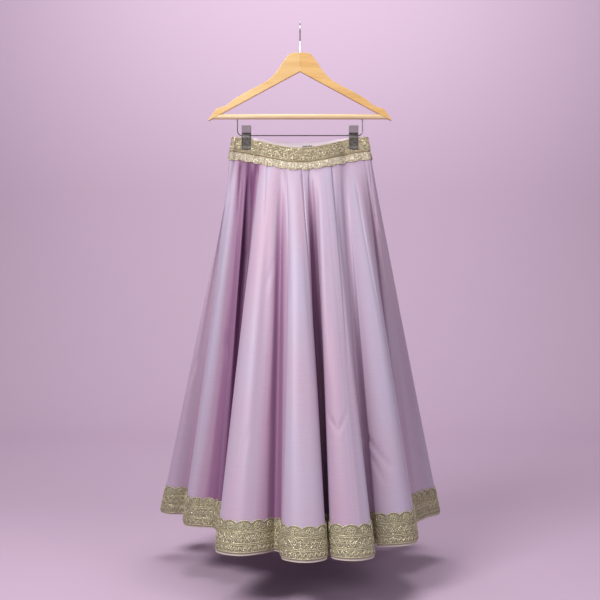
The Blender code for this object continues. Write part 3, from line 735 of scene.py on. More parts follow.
def mask_of(tree, name):
    """A mask that is stored on the mesh's points."""
    node = tree.nodes.new("ShaderNodeAttribute")
    node.attribute_name = name
    return node.outputs["Fac"]


def placed_weave(tree, threads):
    """The weave group, at this many threads in a metre."""
    node = tree.nodes.new("ShaderNodeGroup")
    node.node_tree = WEAVE
    node.inputs["Threads per metre"].default_value = threads
    tree.links.new(cloth_uv_of(tree), node.inputs["Vector"])
    return node


# %% [markdown]
# ## Shot satin
# The satin is woven from threads of two colours, a cool lilac and a warm pink. Its crests look
# bluish and its flanks pink. The depth in the fold drives a colour ramp that also paints shade into
# the valleys, darkening them to deep purple, and slow streaks along the threads make the change
# uneven. A few listed patches turn rose. The surface has broad soft highlights and a fine weave.

# %% Satin
# depth in the fold, and the satin's colour there, darkened in the valleys as painted shade
SATIN_COLOUR_AND_SHADE_STOPS = ((0.00, (0.455, 0.385, 0.500)), (0.16, (0.460, 0.370, 0.480)),
               (0.40, (0.420, 0.270, 0.385)), (0.70, (0.255, 0.120, 0.225)),
               (1.00, (0.170, 0.062, 0.150)))
SATIN_WARM = (0.490, 0.340, 0.435)
SATIN_ROSE = (0.415, 0.272, 0.372)
SATIN_EDGE = (0.560, 0.510, 0.400)
FACING_COLOUR = (0.860, 0.740, 0.800)


def colour_ramp(tree, value, stops):
    """A ColorRamp node with its stops given as pairs of place and colour."""
    ramp = tree.nodes.new("ShaderNodeValToRGB")
    ramp.color_ramp.interpolation = "EASE"
    for number, (place, colour) in enumerate(stops):
        if number < 2:
            element = ramp.color_ramp.elements[number]
            element.position = place
        else:
            element = ramp.color_ramp.elements.new(place)
        element.color = (*colour, 1.0)
    tree.links.new(value, ramp.inputs["Fac"])
    return ramp.outputs["Color"]


def build_facing():
    """The paler satin inside the band."""
    material, tree, shader = start_material("pale_facing_satin", Roughness=0.5)
    weave = placed_weave(tree, SATIN_THREADS)
    pale = mixed(tree, fitted(tree, weave.outputs["Slub"], 0.3, 0.7), FACING_COLOUR,
                 tuple(part * 0.9 for part in FACING_COLOUR))
    tree.links.new(pale, shader.inputs["Base Color"])
    use_bump(tree, shader, weave.outputs["Height"], 0.10, 0.0002)
    return material


def build_satin():
    """The shot satin, coloured by its depth in the fold, with painted shade in the valleys."""
    material, tree, shader = start_material(
        "lilac_shot_satin", Roughness=0.48, Specular_IOR_Level=0.45, Sheen_Weight=0.15,
        Sheen_Roughness=0.45, Sheen_Tint=(0.86, 0.82, 1.0, 1.0))
    weave = placed_weave(tree, SATIN_THREADS)
    uv = cloth_uv_of(tree)
    streaks = noise_node(tree, stretched(tree, uv, (26.0, 1.3, 1.0)), 1.0, 2.0)
    clouds = noise_node(tree, stretched(tree, uv, (6.0, 2.2, 1.0)), 1.0, 2.0)
    uneven = fitted(tree, streaks, 0.25, 0.75, -0.10, 0.10)
    depth = math_node(tree, "ADD", mask_of(tree, "depth"), uneven)
    # the ramp paints shade: the deeper in its fold, the darker and more purple the satin
    folded = colour_ramp(tree, depth, SATIN_COLOUR_AND_SHADE_STOPS)
    warm = math_node(tree, "MULTIPLY", fitted(tree, clouds, 0.44, 0.66),
                     fitted(tree, depth, 0.10, 0.45, 0.85, 0.0))
    colour = mixed(tree, mask_of(tree, "rose"), mixed(tree, warm, folded, SATIN_WARM), SATIN_ROSE)
    slub = fitted(tree, weave.outputs["Slub"], 0.3, 0.7, 0.97, 1.03)
    bright = tree.nodes.new("ShaderNodeHueSaturation")
    tree.links.new(colour, bright.inputs["Color"])
    tree.links.new(slub, bright.inputs["Value"])
    edged = mixed(tree, mask_of(tree, "hem_edge"), bright.outputs["Color"], SATIN_EDGE)
    tree.links.new(edged, shader.inputs["Base Color"])
    tree.links.new(fitted(tree, weave.outputs["Slub"], 0.3, 0.7, 0.43, 0.53), shader.inputs["Roughness"])
    use_bump(tree, shader, weave.outputs["Height"], 0.10, 0.0002)
    return material


SATIN = build_satin()
FACING = build_facing()
print("finish:", SATIN.name)

# %% [markdown]
# ## The eight gores
# Each gore is its own panel from waist seam to hem. Its columns crowd where the hem turns, so that
# crests and valleys stay round. A narrow dip along each side edge is the sewn seam.

# %% Gores
GORE_NAMES = ("front_right", "right_front", "right_back", "back_right",
              "back_left", "left_back", "left_front", "front_left")
FRONT_GORES = ("left_front", "front_left", "front_right", "right_front")
GORE_GRID = (84, 90)         # columns and rows
FRONT_GRID = (142, 120)      # of the four gores in front, where the small creases show most
SEAM_DIP = 0.00040
SEAM_HALF_WIDTH = 0.0030
HEM_EDGE_TALL = 0.0045
# where the shot satin turns rose: fold place, way down, half width in folds, half height, strength
ROSE_PATCHES = (
    (1.08, 0.42, 0.09, 0.34, 0.50),
    (1.26, 0.88, 0.12, 0.20, 0.70),
    (1.62, 0.52, 0.06, 0.26, 0.40),
    (2.90, 0.60, 0.13, 0.30, 0.95),
    (2.92, 0.93, 0.12, 0.14, 0.45),
    (3.66, 0.68, 0.10, 0.20, 0.55),
    (4.88, 0.56, 0.13, 0.30, 0.60),
    (6.14, 0.48, 0.10, 0.34, 0.70),
    (7.20, 0.80, 0.12, 0.22, 0.60),
    (8.90, 0.55, 0.13, 0.30, 0.80),
    (10.10, 0.44, 0.10, 0.32, 0.60),
    (11.18, 0.76, 0.16, 0.34, 0.55),
)


def rose_at(share, down):
    """How rose the satin is, from 0 to 1. A deep valley keeps its painted shade."""
    rose = np.zeros_like(share)
    for place, low, wide, tall, strength in ROSE_PATCHES:
        across = (fold_place(share) - place + FOLD_COUNT / 2) % FOLD_COUNT - FOLD_COUNT / 2
        rose += strength * np.exp(-(across / wide) ** 2 - ((down - low) / tall) ** 2)
    return np.clip(rose, 0.0, 1.0) * np.clip(1.0 - fold_depth(share, down), 0.0, 1.0)


gore_spans = {}
for number, gore_name in enumerate(GORE_NAMES):
    start = FIRST_SEAM + number / GORES
    grid = FRONT_GRID if gore_name in FRONT_GORES else GORE_GRID
    columns = even_shares(HEM, start, start + 1 / GORES, grid[0], GORE_TURN_WEIGHT)
    share, down = np.meshgrid(columns, np.linspace(0.0, 1.0, grid[1] + 1))
    edge = np.minimum(share - start, start + 1 / GORES - share) * round_at(down)
    dip = -SEAM_DIP * np.exp(-(edge / SEAM_HALF_WIDTH) ** 2)
    points = cloth_point(share, down, dip)
    uv = np.stack([share * HEM.length, (1 - down) * CLOTH_TALL], axis=-1)
    hem_edge = np.clip((HEM_EDGE_TALL - (1 - down) * CLOTH_TALL) / 0.001 + 0.5, 0.0, 1.0)
    mesh = grid_mesh("satin_" + gore_name, points, uv,
                     {"depth": fold_depth(share, down), "rose": rose_at(share, down),
                      "hem_edge": hem_edge})
    piece = link_piece("satin_" + gore_name, mesh, SATIN, "satin", "gore_" + gore_name)
    thicken(piece, SATIN_THICK, 0.0)
    gore_spans[gore_name] = (start, piece, points)
satin_area = sum(grid_area(points) for start, piece, points in gore_spans.values())
print(len(gore_spans), "gores,", round(satin_area, 3), "m2 of satin")

# %% [markdown]
# ## Gold embroidery
# The border and the band are embroidered on a gold ground: couched cords, small leaves and flowers
# of thread, and hundreds of sequins that lie at slightly different angles, which is why they
# glitter. The ground is a thin sheet. The cords are curves with a round section, made into meshes.
# Leaves and sequins are a small shape set on many points by geometry nodes.

# %% Gold finishes
HEM_GROUND = (0.225, 0.208, 0.128)
HEM_THREAD = (0.500, 0.460, 0.300)
HEM_CORD = (0.640, 0.590, 0.390)
HEM_SEQUIN = (0.620, 0.570, 0.400)
BAND_GROUND = (0.330, 0.270, 0.150)
BAND_THREAD = (0.640, 0.560, 0.350)
BAND_SEQUIN = (0.780, 0.710, 0.500)
TRIM_GROUND = (0.480, 0.410, 0.270)
TRIM_SEQUIN = (0.860, 0.790, 0.620)
# colour of the painted shadow along the band's lower edge
PAINTED_SHADOW = (0.200, 0.160, 0.090)


def build_gold_ground(name, ground, thread):
    """Metal tissue: flecks of thread on a darker ground, and a painted shadow where a mask says so."""
    material, tree, shader = start_material(name, Roughness=0.5, Metallic=0.25, Specular_IOR_Level=0.5)
    weave = placed_weave(tree, TISSUE_THREADS)
    uv = cloth_uv_of(tree)
    flecks = fitted(tree, noise_node(tree, uv, 420.0, 2.0), 0.40, 0.66)
    patches = fitted(tree, noise_node(tree, uv, 60.0, 2.0), 0.35, 0.65, 0.80, 1.1)
    colour = mixed(tree, flecks, ground, thread)
    tone = tree.nodes.new("ShaderNodeHueSaturation")
    tree.links.new(colour, tone.inputs["Color"])
    tree.links.new(patches, tone.inputs["Value"])
    shadowed = mixed(tree, mask_of(tree, "painted_shadow_mask"), tone.outputs["Color"], PAINTED_SHADOW)
    tree.links.new(shadowed, shader.inputs["Base Color"])
    tree.links.new(fitted(tree, flecks, 0.0, 1.0, 0.55, 0.36), shader.inputs["Roughness"])
    use_bump(tree, shader, math_node(tree, "ADD", weave.outputs["Height"], flecks), 0.7, 0.0006)
    return material


def build_gold(name, colour, roughness, metallic, shade_low):
    """Metal thread or sequin: its shade changes from stitch to stitch."""
    material, tree, shader = start_material(name, Roughness=roughness, Metallic=metallic)
    object_place = tree.nodes.new("ShaderNodeTexCoord").outputs["Object"]
    speckle = noise_node(tree, object_place, 330.0, 2.0)
    fine = noise_node(tree, object_place, 1800.0, 1.0)
    tone = tree.nodes.new("ShaderNodeHueSaturation")
    tone.inputs["Color"].default_value = (*colour, 1.0)
    tree.links.new(fitted(tree, speckle, 0.35, 0.65, shade_low, 1.15), tone.inputs["Value"])
    tree.links.new(tone.outputs["Color"], shader.inputs["Base Color"])
    rough = fitted(tree, fine, 0.3, 0.7, roughness - 0.08, roughness + 0.08)
    tree.links.new(rough, shader.inputs["Roughness"])
    use_bump(tree, shader, fine, 0.25, 0.0003)
    return material


HEM_TISSUE = build_gold_ground("hem_gold_tissue", HEM_GROUND, HEM_THREAD)
BAND_TISSUE = build_gold_ground("band_gold_tissue", BAND_GROUND, BAND_THREAD)
TRIM_TISSUE = build_gold_ground("trim_pale_gold_tissue", TRIM_GROUND, TRIM_SEQUIN)
THREAD = build_gold("hem_gold_thread", HEM_THREAD, 0.42, 0.45, 0.75)
CORD = build_gold("hem_gold_cord", HEM_CORD, 0.36, 0.45, 0.85)
SEQUIN = build_gold("hem_gold_sequin", HEM_SEQUIN, 0.26, 0.75, 0.60)
BAND_CORD = build_gold("band_gold_thread", BAND_THREAD, 0.36, 0.40, 0.80)
BAND_BEAD = build_gold("band_gold_bead", BAND_SEQUIN, 0.20, 0.65, 0.40)
TRIM_BEAD = build_gold("trim_pale_gold_bead", TRIM_SEQUIN, 0.24, 0.45, 0.50)
print("gold finishes:", [material.name for material in bpy.data.materials if "gold" in material.name])


# %% Small shapes that are set many times
LEAF_WIDE = 0.36             # of its length
LEAF_THICK = 0.42


def template(name, bm, smooth):
    """An object that holds a small shape, until all are set."""
    mesh = bpy.data.meshes.new(name)
    bmesh.ops.recalc_face_normals(bm, faces=bm.faces)
    bm.to_mesh(mesh)
    bm.free()
    if smooth:
        mesh.shade_smooth()
    return add_object(name, mesh)


def sequin_shape():
    """A disc of one metre across, cupped: set many times at its real size."""
    bm = bmesh.new()
    bmesh.ops.create_cone(bm, cap_ends=False, segments=6, radius1=0.5, radius2=0.14, depth=0.16)
    low_rim = [vert for vert in bm.verts if vert.co.z > 0]
    bmesh.ops.contextual_create(bm, geom=low_rim)
    return template("sequin_shape", bm, smooth=False)


def leaf_shape():
    """A padded leaf along x, one metre long."""
    bm = bmesh.new()
    bmesh.ops.create_uvsphere(bm, u_segments=6, v_segments=4, radius=0.5)
    bmesh.ops.scale(bm, vec=(LEAF_THICK, LEAF_WIDE, 1.0), verts=bm.verts)
    bmesh.ops.rotate(bm, cent=(0.0, 0.0, 0.0), verts=bm.verts,
                     matrix=Matrix.Rotation(math.pi / 2, 3, "Y"))
    return template("leaf_shape", bm, smooth=True)


def bead_shape():
    """A ball of one metre across."""
    bm = bmesh.new()
    bmesh.ops.create_icosphere(bm, subdivisions=1, radius=0.5)
    return template("bead_shape", bm, smooth=True)


SHAPES = {"sequin": sequin_shape(), "leaf": leaf_shape(), "bead": bead_shape()}
print({name: len(shape.data.polygons) for name, shape in SHAPES.items()}, "faces")


# %% Set a small shape on many points
def turn_angles(along, normal):
    """The XYZ angles that lay a shape's x along one way and its z along the normal."""
    side = np.cross(normal, along)
    side /= np.linalg.norm(side, axis=1, keepdims=True)
    along = np.cross(side, normal)
    return np.stack([np.arctan2(side[:, 2], normal[:, 2]),
                     np.arcsin(np.clip(-along[:, 2], -1.0, 1.0)),
                     np.arctan2(along[:, 1], along[:, 0])], axis=1)


def setting_tree(shape):
    """Geometry nodes that set the shape on every point, turned and sized by what the point says."""
    tree = bpy.data.node_groups.new("set_" + shape.name, "GeometryNodeTree")
    tree.interface.new_socket(name="Geometry", in_out="INPUT", socket_type="NodeSocketGeometry")
    tree.interface.new_socket(name="Geometry", in_out="OUTPUT", socket_type="NodeSocketGeometry")
    given = tree.nodes.new("NodeGroupInput")
    result = tree.nodes.new("NodeGroupOutput")
    setter = tree.nodes.new("GeometryNodeInstanceOnPoints")
    source = tree.nodes.new("GeometryNodeObjectInfo")
    source.inputs["Object"].default_value = shape
    made = tree.nodes.new("GeometryNodeRealizeInstances")
    turned = tree.nodes.new("FunctionNodeEulerToRotation")
    for name, socket in (("turn", turned.inputs[0]), ("size", setter.inputs["Scale"])):
        reader = tree.nodes.new("GeometryNodeInputNamedAttribute")
        reader.data_type = "FLOAT_VECTOR"
        reader.inputs["Name"].default_value = name
        tree.links.new(reader.outputs["Attribute"], socket)
    tree.links.new(turned.outputs[0], setter.inputs["Rotation"])
    tree.links.new(given.outputs[0], setter.inputs["Points"])
    tree.links.new(source.outputs["Geometry"], setter.inputs["Instance"])
    tree.links.new(setter.outputs[0], made.inputs[0])
    tree.links.new(made.outputs[0], result.inputs[0])
    return tree


SETTINGS = {name: setting_tree(shape) for name, shape in SHAPES.items()}


def set_many(kind, places, along, normals, sizes):
    """One mesh with the small shape at every place."""
    mesh = bpy.data.meshes.new("places")
    mesh.vertices.add(len(places))
    mesh.vertices.foreach_set("co", places.reshape(-1).astype(np.float32))
    for name, values in (("turn", turn_angles(along, normals)), ("size", sizes)):
        attribute = mesh.attributes.new(name, "FLOAT_VECTOR", "POINT")
        attribute.data.foreach_set("vector", values.reshape(-1).astype(np.float32))
    holder = add_object("places", mesh)
    holder.modifiers.new("set", "NODES").node_group = SETTINGS[kind]
    ready = holder.evaluated_get(bpy.context.evaluated_depsgraph_get())
    made = bpy.data.meshes.new_from_object(ready)
    bpy.data.objects.remove(holder)
    return made


def cord_mesh(paths, radius):
    """Round cords along many paths, as one mesh."""
    curve = bpy.data.curves.new("cords", "CURVE")
    curve.dimensions = "3D"
    curve.bevel_depth = radius
    curve.bevel_resolution = 0
    for path in paths:
        spline = curve.splines.new("POLY")
        spline.points.add(len(path) - 1)
        spline.points.foreach_set("co", np.c_[path, np.ones(len(path))].reshape(-1).astype(np.float32))
    holder = add_object("cords", curve)
    ready = holder.evaluated_get(bpy.context.evaluated_depsgraph_get())
    made = bpy.data.meshes.new_from_object(ready)
    bpy.data.objects.remove(holder)
    made.shade_smooth()
    return made


def joined(name, meshes, material, slot):
    """Several meshes as one piece."""
    bm = bmesh.new()
    for mesh in meshes:
        bm.from_mesh(mesh)
    whole = bpy.data.meshes.new(name)
    bm.to_mesh(whole)
    bm.free()
    return link_piece(name, whole, material, slot)


# %% [markdown]
# ## A place to embroider on
# The needlework is drawn flat, as a distance along the strip and a height above its lower edge, and
# then laid on the cloth. The same drawing goes on the hem border, the band and the trim, so a small
# class holds the strip's surface.


# %% Strips
class Strip:
    """A strip of embroidered cloth: its surface, and how far its ground stands off the satin."""

    def __init__(self, surface, start, end, around, lift):
        self.surface = surface
        self.start = start
        self.end = end
        self.around = around
        self.lift = lift

    def length(self):
        """Metres from end to end."""
        return (self.end - self.start) * self.around

    def point(self, along, height, raised=0.0):
        """Where a point of the flat drawing lies on the cloth."""
        return self.surface(self.start + along / self.around, height, self.lift + raised)

    def frame_at(self, along, height, raised=0.0):
        """Places, the way along the strip and the way out of it."""
        step = 0.0006
        place = self.point(along, height, raised)
        onward = self.point(along + step, height, raised) - self.point(along - step, height, raised)
        upward = self.point(along, height + step, raised) - self.point(along, height - step, raised)
        onward /= np.linalg.norm(onward, axis=-1, keepdims=True)
        outward = np.cross(onward, upward)
        outward /= np.linalg.norm(outward, axis=-1, keepdims=True)
        return place, onward, outward


def hem_surface(share, height, lift):
    """A point above the lower edge of the satin."""
    return cloth_point(share, 1 - height / CLOTH_TALL, lift)


def band_face(share, height, lift):
    """A point above the lower edge of the band."""
    share, height = np.broadcast_arrays(np.asarray(share, dtype=float), np.asarray(height, dtype=float))
    down = 1 - height / BAND_TALL
    outward = outward_normals(band_surface, share, down)
    return band_surface(share, down) + outward * np.asarray(lift)[..., None]


def leaves_on(strip, along, height, angle, long, wide, thick, raised):
    """Leaves laid at an angle from the strip's own way, in radians."""
    place, onward, outward = strip.frame_at(along, height, raised)
    upward = np.cross(outward, onward)
    way = onward * np.cos(angle)[:, None] + upward * np.sin(angle)[:, None]
    sizes = np.stack([np.full(len(along), long), np.full(len(along), wide / LEAF_WIDE),
                      np.full(len(along), thick / LEAF_THICK)], axis=1)
    return set_many("leaf", place, way, outward, sizes)


def scattered(columns, rows, spread, draws):
    """A grid of places, each one moved a little along and up or down."""
    along, height = (axis.reshape(-1) for axis in np.meshgrid(columns, rows))
    along = along + draws.uniform(-spread[0], spread[0], len(along))
    height = height + draws.uniform(-spread[1], spread[1], len(height))
    return along, height


def sequins_on(strip, along, height, size, tilt, raised, draws):
    """Sequins that lean a little, each its own way."""
    place, onward, outward = strip.frame_at(along, height, raised)
    upward = np.cross(outward, onward)
    lean = draws.normal(0.0, tilt, (2, len(along)))
    outward = outward + onward * lean[0][:, None] + upward * lean[1][:, None]
    outward /= np.linalg.norm(outward, axis=1, keepdims=True)
    sizes = np.repeat((size * draws.uniform(0.8, 1.15, len(along)))[:, None], 3, axis=1)
    return set_many("sequin", place, onward, outward, sizes)


# %% [markdown]
# ## Hem border
# From its lower edge up: a plain cord, a row of slanting leaf pairs, a double cord, a trellis of
# crossing cords with a flower in each diamond, another double cord, and a row of round scallops,
# each with a flower inside a ring. Sequins fill the ground between them.

# %% Hem border
BORDER_LIFT = 0.004
BORDER_TALL = 0.066
BORDER_SCALLOP = 0.008
SCALLOPS_PER_GORE = 14
BORDER_RAISED = 0.0016
BORDER_THICK = 0.0009
CORD_RADIUS = 0.00080
CORD_RAISED = 0.0004
RING_HEIGHT = 0.0570
RING_RADIUS = 0.0078
NOTCH_HEIGHT = 0.0535
# length, width, thickness of a leaf, and how far it stands off the ground
RING_LEAF = (0.0062, 0.0034, 0.0022, 0.0005)
DIAMOND_LEAF = (0.0054, 0.0028, 0.0020, 0.0005)
NOTCH_LEAF = (0.0048, 0.0026, 0.0018, 0.0005)
ROW_LEAF = (0.0124, 0.0036, 0.0020, 0.0004)
# reach of a flower's petals, and how many there are
RING_FLOWER = (0.0040, 7)
DIAMOND_FLOWER = (0.0036, 6)
NOTCH_FLOWER = (0.0026, 3)
ROW_PITCH = 0.0056
ROW_SLANT = 1.05
SEQUIN_PITCH = 0.0036
SEQUIN_ROWS = (0.0085, 0.0120, 0.0155, 0.0185, 0.0262, 0.0300, 0.0338, 0.0376, 0.0414)
SEQUIN_SPREAD = (0.0014, 0.0014)         # along, and up or down
BORDER_DISC = (0.0023, 0.20, 0.0009)     # a sequin's size, its lean, and how far it stands off
LINE_HEIGHTS = (0.0062, 0.0205, 0.0236, 0.0446, 0.0476)
TRELLIS = (0.0236, 0.0446)
LEAF_ROW = (0.0062, 0.0205)


def scallop_rise(phase):
    """0 at the notch between two scallops, 1 at the crest."""
    return np.sqrt(np.clip(1 - (2 * (phase % 1.0) - 1) ** 2, 0.0, 1.0))


def border_ground(name, strip, count, tops):
    """The gold ground of the border, with its scalloped upper edge."""
    steps = count * 10
    along = np.linspace(0.0, strip.length(), steps + 1)
    top = tops(along)
    part = np.linspace(1.0, 0.0, 9)[:, None]
    height = BORDER_LIFT + (top - BORDER_LIFT) * part
    flat = np.broadcast_to(along, height.shape)
    points = strip.point(flat, height)
    uv = np.stack([flat + strip.start * strip.around, height], axis=-1)
    return grid_mesh(name, points, uv, {"painted_shadow_mask": np.zeros_like(height)}), points


def ring(centre_along, centre_height, radius):
    """A circle of 14 sides, drawn flat."""
    angles = np.linspace(0.0, 2 * math.pi, 15)
    return centre_along + radius * np.cos(angles), centre_height + radius * np.sin(angles)


def flower_drawing(centres, heights, reach, petals):
    """Petals round many centres: places along, heights and angles."""
    angles = np.arange(petals) * 2 * math.pi / petals + math.pi / 2
    along = (centres[:, None] + reach * np.cos(angles)).reshape(-1)
    height = (heights[:, None] + reach * np.sin(angles)).reshape(-1)
    return along, height, np.tile(angles, len(centres))


border_pieces = {}
for number, gore_name in enumerate(GORE_NAMES):
    draws = np.random.default_rng(100 + number)
    start = gore_spans[gore_name][0]
    strip = Strip(hem_surface, start, start + 1 / GORES, HEM.length, SATIN_THICK / 2 + BORDER_RAISED)
    long = strip.length()
    pitch = long / SCALLOPS_PER_GORE

    def border_top(along):
        return BORDER_LIFT + BORDER_TALL - BORDER_SCALLOP * (1 - scallop_rise(along / pitch))

    mesh, points = border_ground("border_ground_" + gore_name, strip, SCALLOPS_PER_GORE, border_top)
    ground = link_piece("border_ground_" + gore_name, mesh, HEM_TISSUE, "gold_work",
                        "hem_border_" + gore_name)
    thicken(ground, BORDER_THICK, -1.0)

    fine = np.linspace(0.0, long, 110)
    drawings = [(fine, np.full_like(fine, height)) for height in LINE_HEIGHTS]
    edge = np.linspace(0.0005, long - 0.0005, SCALLOPS_PER_GORE * 12)
    drawings.append((edge, border_top(edge) - 0.0008))
    middles = (np.arange(SCALLOPS_PER_GORE) + 0.5) * pitch
    drawings += [ring(middle, RING_HEIGHT, RING_RADIUS) for middle in middles]
    zig = np.arange(0, 2 * SCALLOPS_PER_GORE + 1) * pitch / 2
    for first in (0, 1):
        swing = np.where((np.arange(len(zig)) + first) % 2, TRELLIS[0], TRELLIS[1])
        dense = np.linspace(0.0, long, 4 * len(zig) - 3)
        drawings.append((dense, np.interp(dense, zig, swing)))
    paths = [strip.point(along, height, CORD_RAISED) for along, height in drawings]
    cords = joined("border_cords_" + gore_name, [cord_mesh(paths, CORD_RADIUS)], CORD, "gold_work")

    petals = flower_drawing(middles, np.full_like(middles, RING_HEIGHT), *RING_FLOWER)
    diamond = zig[1:-1]
    small = flower_drawing(diamond, np.full_like(diamond, sum(TRELLIS) / 2), *DIAMOND_FLOWER)
    row = np.arange(0.0028, long - 0.002, ROW_PITCH)
    slant = np.where(np.arange(len(row)) % 2, ROW_SLANT, -ROW_SLANT)
    row_height = np.full_like(row, sum(LEAF_ROW) / 2)
    notch = np.arange(1, SCALLOPS_PER_GORE) * pitch
    filling = flower_drawing(notch, np.full_like(notch, NOTCH_HEIGHT), *NOTCH_FLOWER)
    leaves = [leaves_on(strip, *petals, *RING_LEAF),
              leaves_on(strip, *small, *DIAMOND_LEAF),
              leaves_on(strip, *filling, *NOTCH_LEAF),
              leaves_on(strip, row, row_height, slant, *ROW_LEAF)]
    leafwork = joined("border_leaves_" + gore_name, leaves, THREAD, "gold_work")

    across = np.arange(0.0015, long - 0.001, SEQUIN_PITCH)
    along, height = scattered(across, SEQUIN_ROWS, SEQUIN_SPREAD, draws)
    inside = (height < border_top(along) - 0.0022) & (along > 0.0008) & (along < long - 0.0008)
    sparkle = joined("border_sequins_" + gore_name,
                     [sequins_on(strip, along[inside], height[inside], *BORDER_DISC, draws)],
                     SEQUIN, "gold_work")
    border_pieces[gore_name] = (ground, points, (cords, leafwork, sparkle))
print("border triangles a gore:", [sum(len(p.vertices) - 2 for p in piece.data.polygons)
                                   for piece in border_pieces["front_left"][2]])

# %% [markdown]
# ## Waistband
# The band is one stiff strip, covered with rows of fine beading between couched cords. Its lower
# edge carries a scalloped trim that lies over the top of the gores. The satin facing inside shows
# behind the front edge. It is open at the centre back, where a hook and bar close it.

# %% Waistband
BAND_SPANS = (("front", 0.0, 0.5), ("back_right", 0.5, CLOSING_SHARE),
              ("back_left", CLOSING_SHARE, 1.0))
BAND_OUTER = 0.0014
BAND_THICK = 0.0019
FACING_OUTER = -0.0009
FACING_THICK = 0.0009
BAND_LINES = (0.0040, 0.0110, 0.0185, 0.0260, 0.0345)
BAND_SHADOW_TALL = 0.0022          # bare strip along the lower edge, painted dark as the shade of the beading
BEAD_PITCH = 0.0025
BEAD_ROWS = (0.0022, 0.0044, 0.0064)     # above each line of cord but the last
BEAD_SPREAD = (0.0006, 0.0003)
BAND_DISC = (0.0023, 0.46, 0.0009)
CLIP_X = 0.1295
CLIP_HALF = 0.0124
CLIP_JAW_LOW = -0.3098
END_GAP = 0.00015


def clear_of_clips(points):
    """True where a point isn't under a jaw."""
    under = (np.abs(np.abs(points[..., 0]) - CLIP_X) < CLIP_HALF) & (points[..., 2] > CLIP_JAW_LOW)
    return ~under


def split_clear(path):
    """The stretches of a path that are clear of the clips."""
    clear = clear_of_clips(path)
    cuts = np.flatnonzero(np.diff(clear.astype(int))) + 1
    runs = np.split(np.arange(len(path)), cuts)
    return [path[run] for run in runs if clear[run[0]] and len(run) > 2]


for name, start, end in BAND_SPANS:
    draws = np.random.default_rng(int(start * 100) + 7)
    inset = END_GAP / WAIST_TOP.length
    strip = Strip(band_face, start + inset, end - inset, WAIST_TOP.length, BAND_OUTER)
    columns = even_shares(WAIST_TOP, start + inset, end - inset, round(240 * (end - start)),
                          BAND_TURN_WEIGHT)
    flat = (columns - strip.start) * strip.around
    along, height = np.meshgrid(flat, np.linspace(BAND_TALL, 0.0, 25))
    edge_round = 0.0005 * (1 - np.sqrt(np.clip(np.minimum(height, BAND_TALL - height) / 0.003, 0.0, 1.0)))
    uv = np.stack([along, height], axis=-1)
    points = strip.point(along, height, -edge_round)
    # the bare strip along the lower edge is painted dark as shadow
    painted_shadow_mask = np.clip((BAND_SHADOW_TALL - height) / 0.001, 0.0, 1.0)
    mesh = grid_mesh("band_ground_" + name, points, uv, {"painted_shadow_mask": painted_shadow_mask})
    band = link_piece("band_ground_" + name, mesh, BAND_TISSUE, "gold_work", "band_" + name)
    thicken(band, BAND_THICK, -1.0)
    fine = np.linspace(0.0005, strip.length() - 0.0005, round(300 * (end - start)) * 2)
    paths = []
    for line in BAND_LINES:
        paths += split_clear(strip.point(fine, np.full_like(fine, line), 0.0003))
    cords = joined("band_cords_" + name, [cord_mesh(paths, 0.00055)], BAND_CORD, "gold_work")
    rows = [line + above for line in BAND_LINES[:-1] for above in BEAD_ROWS]
    across = np.arange(0.0016, strip.length() - 0.0012, BEAD_PITCH)
    along, height = scattered(across, rows, BEAD_SPREAD, draws)
    clear = clear_of_clips(strip.point(along, height))
    beads = joined("band_sequins_" + name,
                   [sequins_on(strip, along[clear], height[clear], *BAND_DISC, draws)],
                   BAND_BEAD, "gold_work")

# %% Facing
for name, start, end in BAND_SPANS:
    inset = END_GAP / WAIST_TOP.length
    columns = even_shares(WAIST_TOP, start + inset, end - inset, round(200 * (end - start)),
                          BAND_TURN_WEIGHT)
    share, down = np.meshgrid(columns, np.linspace(0.0, 1.0, 9))
    points = band_surface(share, down) + outward_normals(band_surface, share, down) * FACING_OUTER
    uv = np.stack([share * WAIST_TOP.length, (1 - down) * BAND_TALL], axis=-1)
    facing = link_piece("satin_facing_" + name, grid_mesh("satin_facing_" + name, points, uv, {}),
                        FACING, "satin", "facing_" + name)
    thicken(facing, FACING_THICK, -1.0)

# %% Scalloped trim under the band
TRIM_TALL = 0.021
TRIM_START = 0.0010
TRIM_SCALLOP = 0.005
TRIM_SCALLOPS = 24
TRIM_RAISED = 0.0016
TRIM_THICK = 0.0009
TRIM_LEAF = (0.0048, 0.0030, 0.0020, 0.0005)
TRIM_FLOWER = (0.0030, 6)
TRIM_FLOWER_HEIGHT = 0.0105
TRIM_DISC = (0.0024, 0.46, 0.0010)
TRIM_PITCH = 0.0026
TRIM_SPREAD = (0.0009, 0.0009)


def hem_share_of(hung):
    """The hem share that hangs from a waist share."""
    fine = np.linspace(-0.25, 1.25, 6000)
    return np.interp(hung, waist_share(fine), fine)


def trim_face(share, height, lift):
    """Height is measured down from the seam here, along the satin."""
    return cloth_point(hem_share_of(share), (TRIM_TALL - height) / CLOTH_TALL, lift)


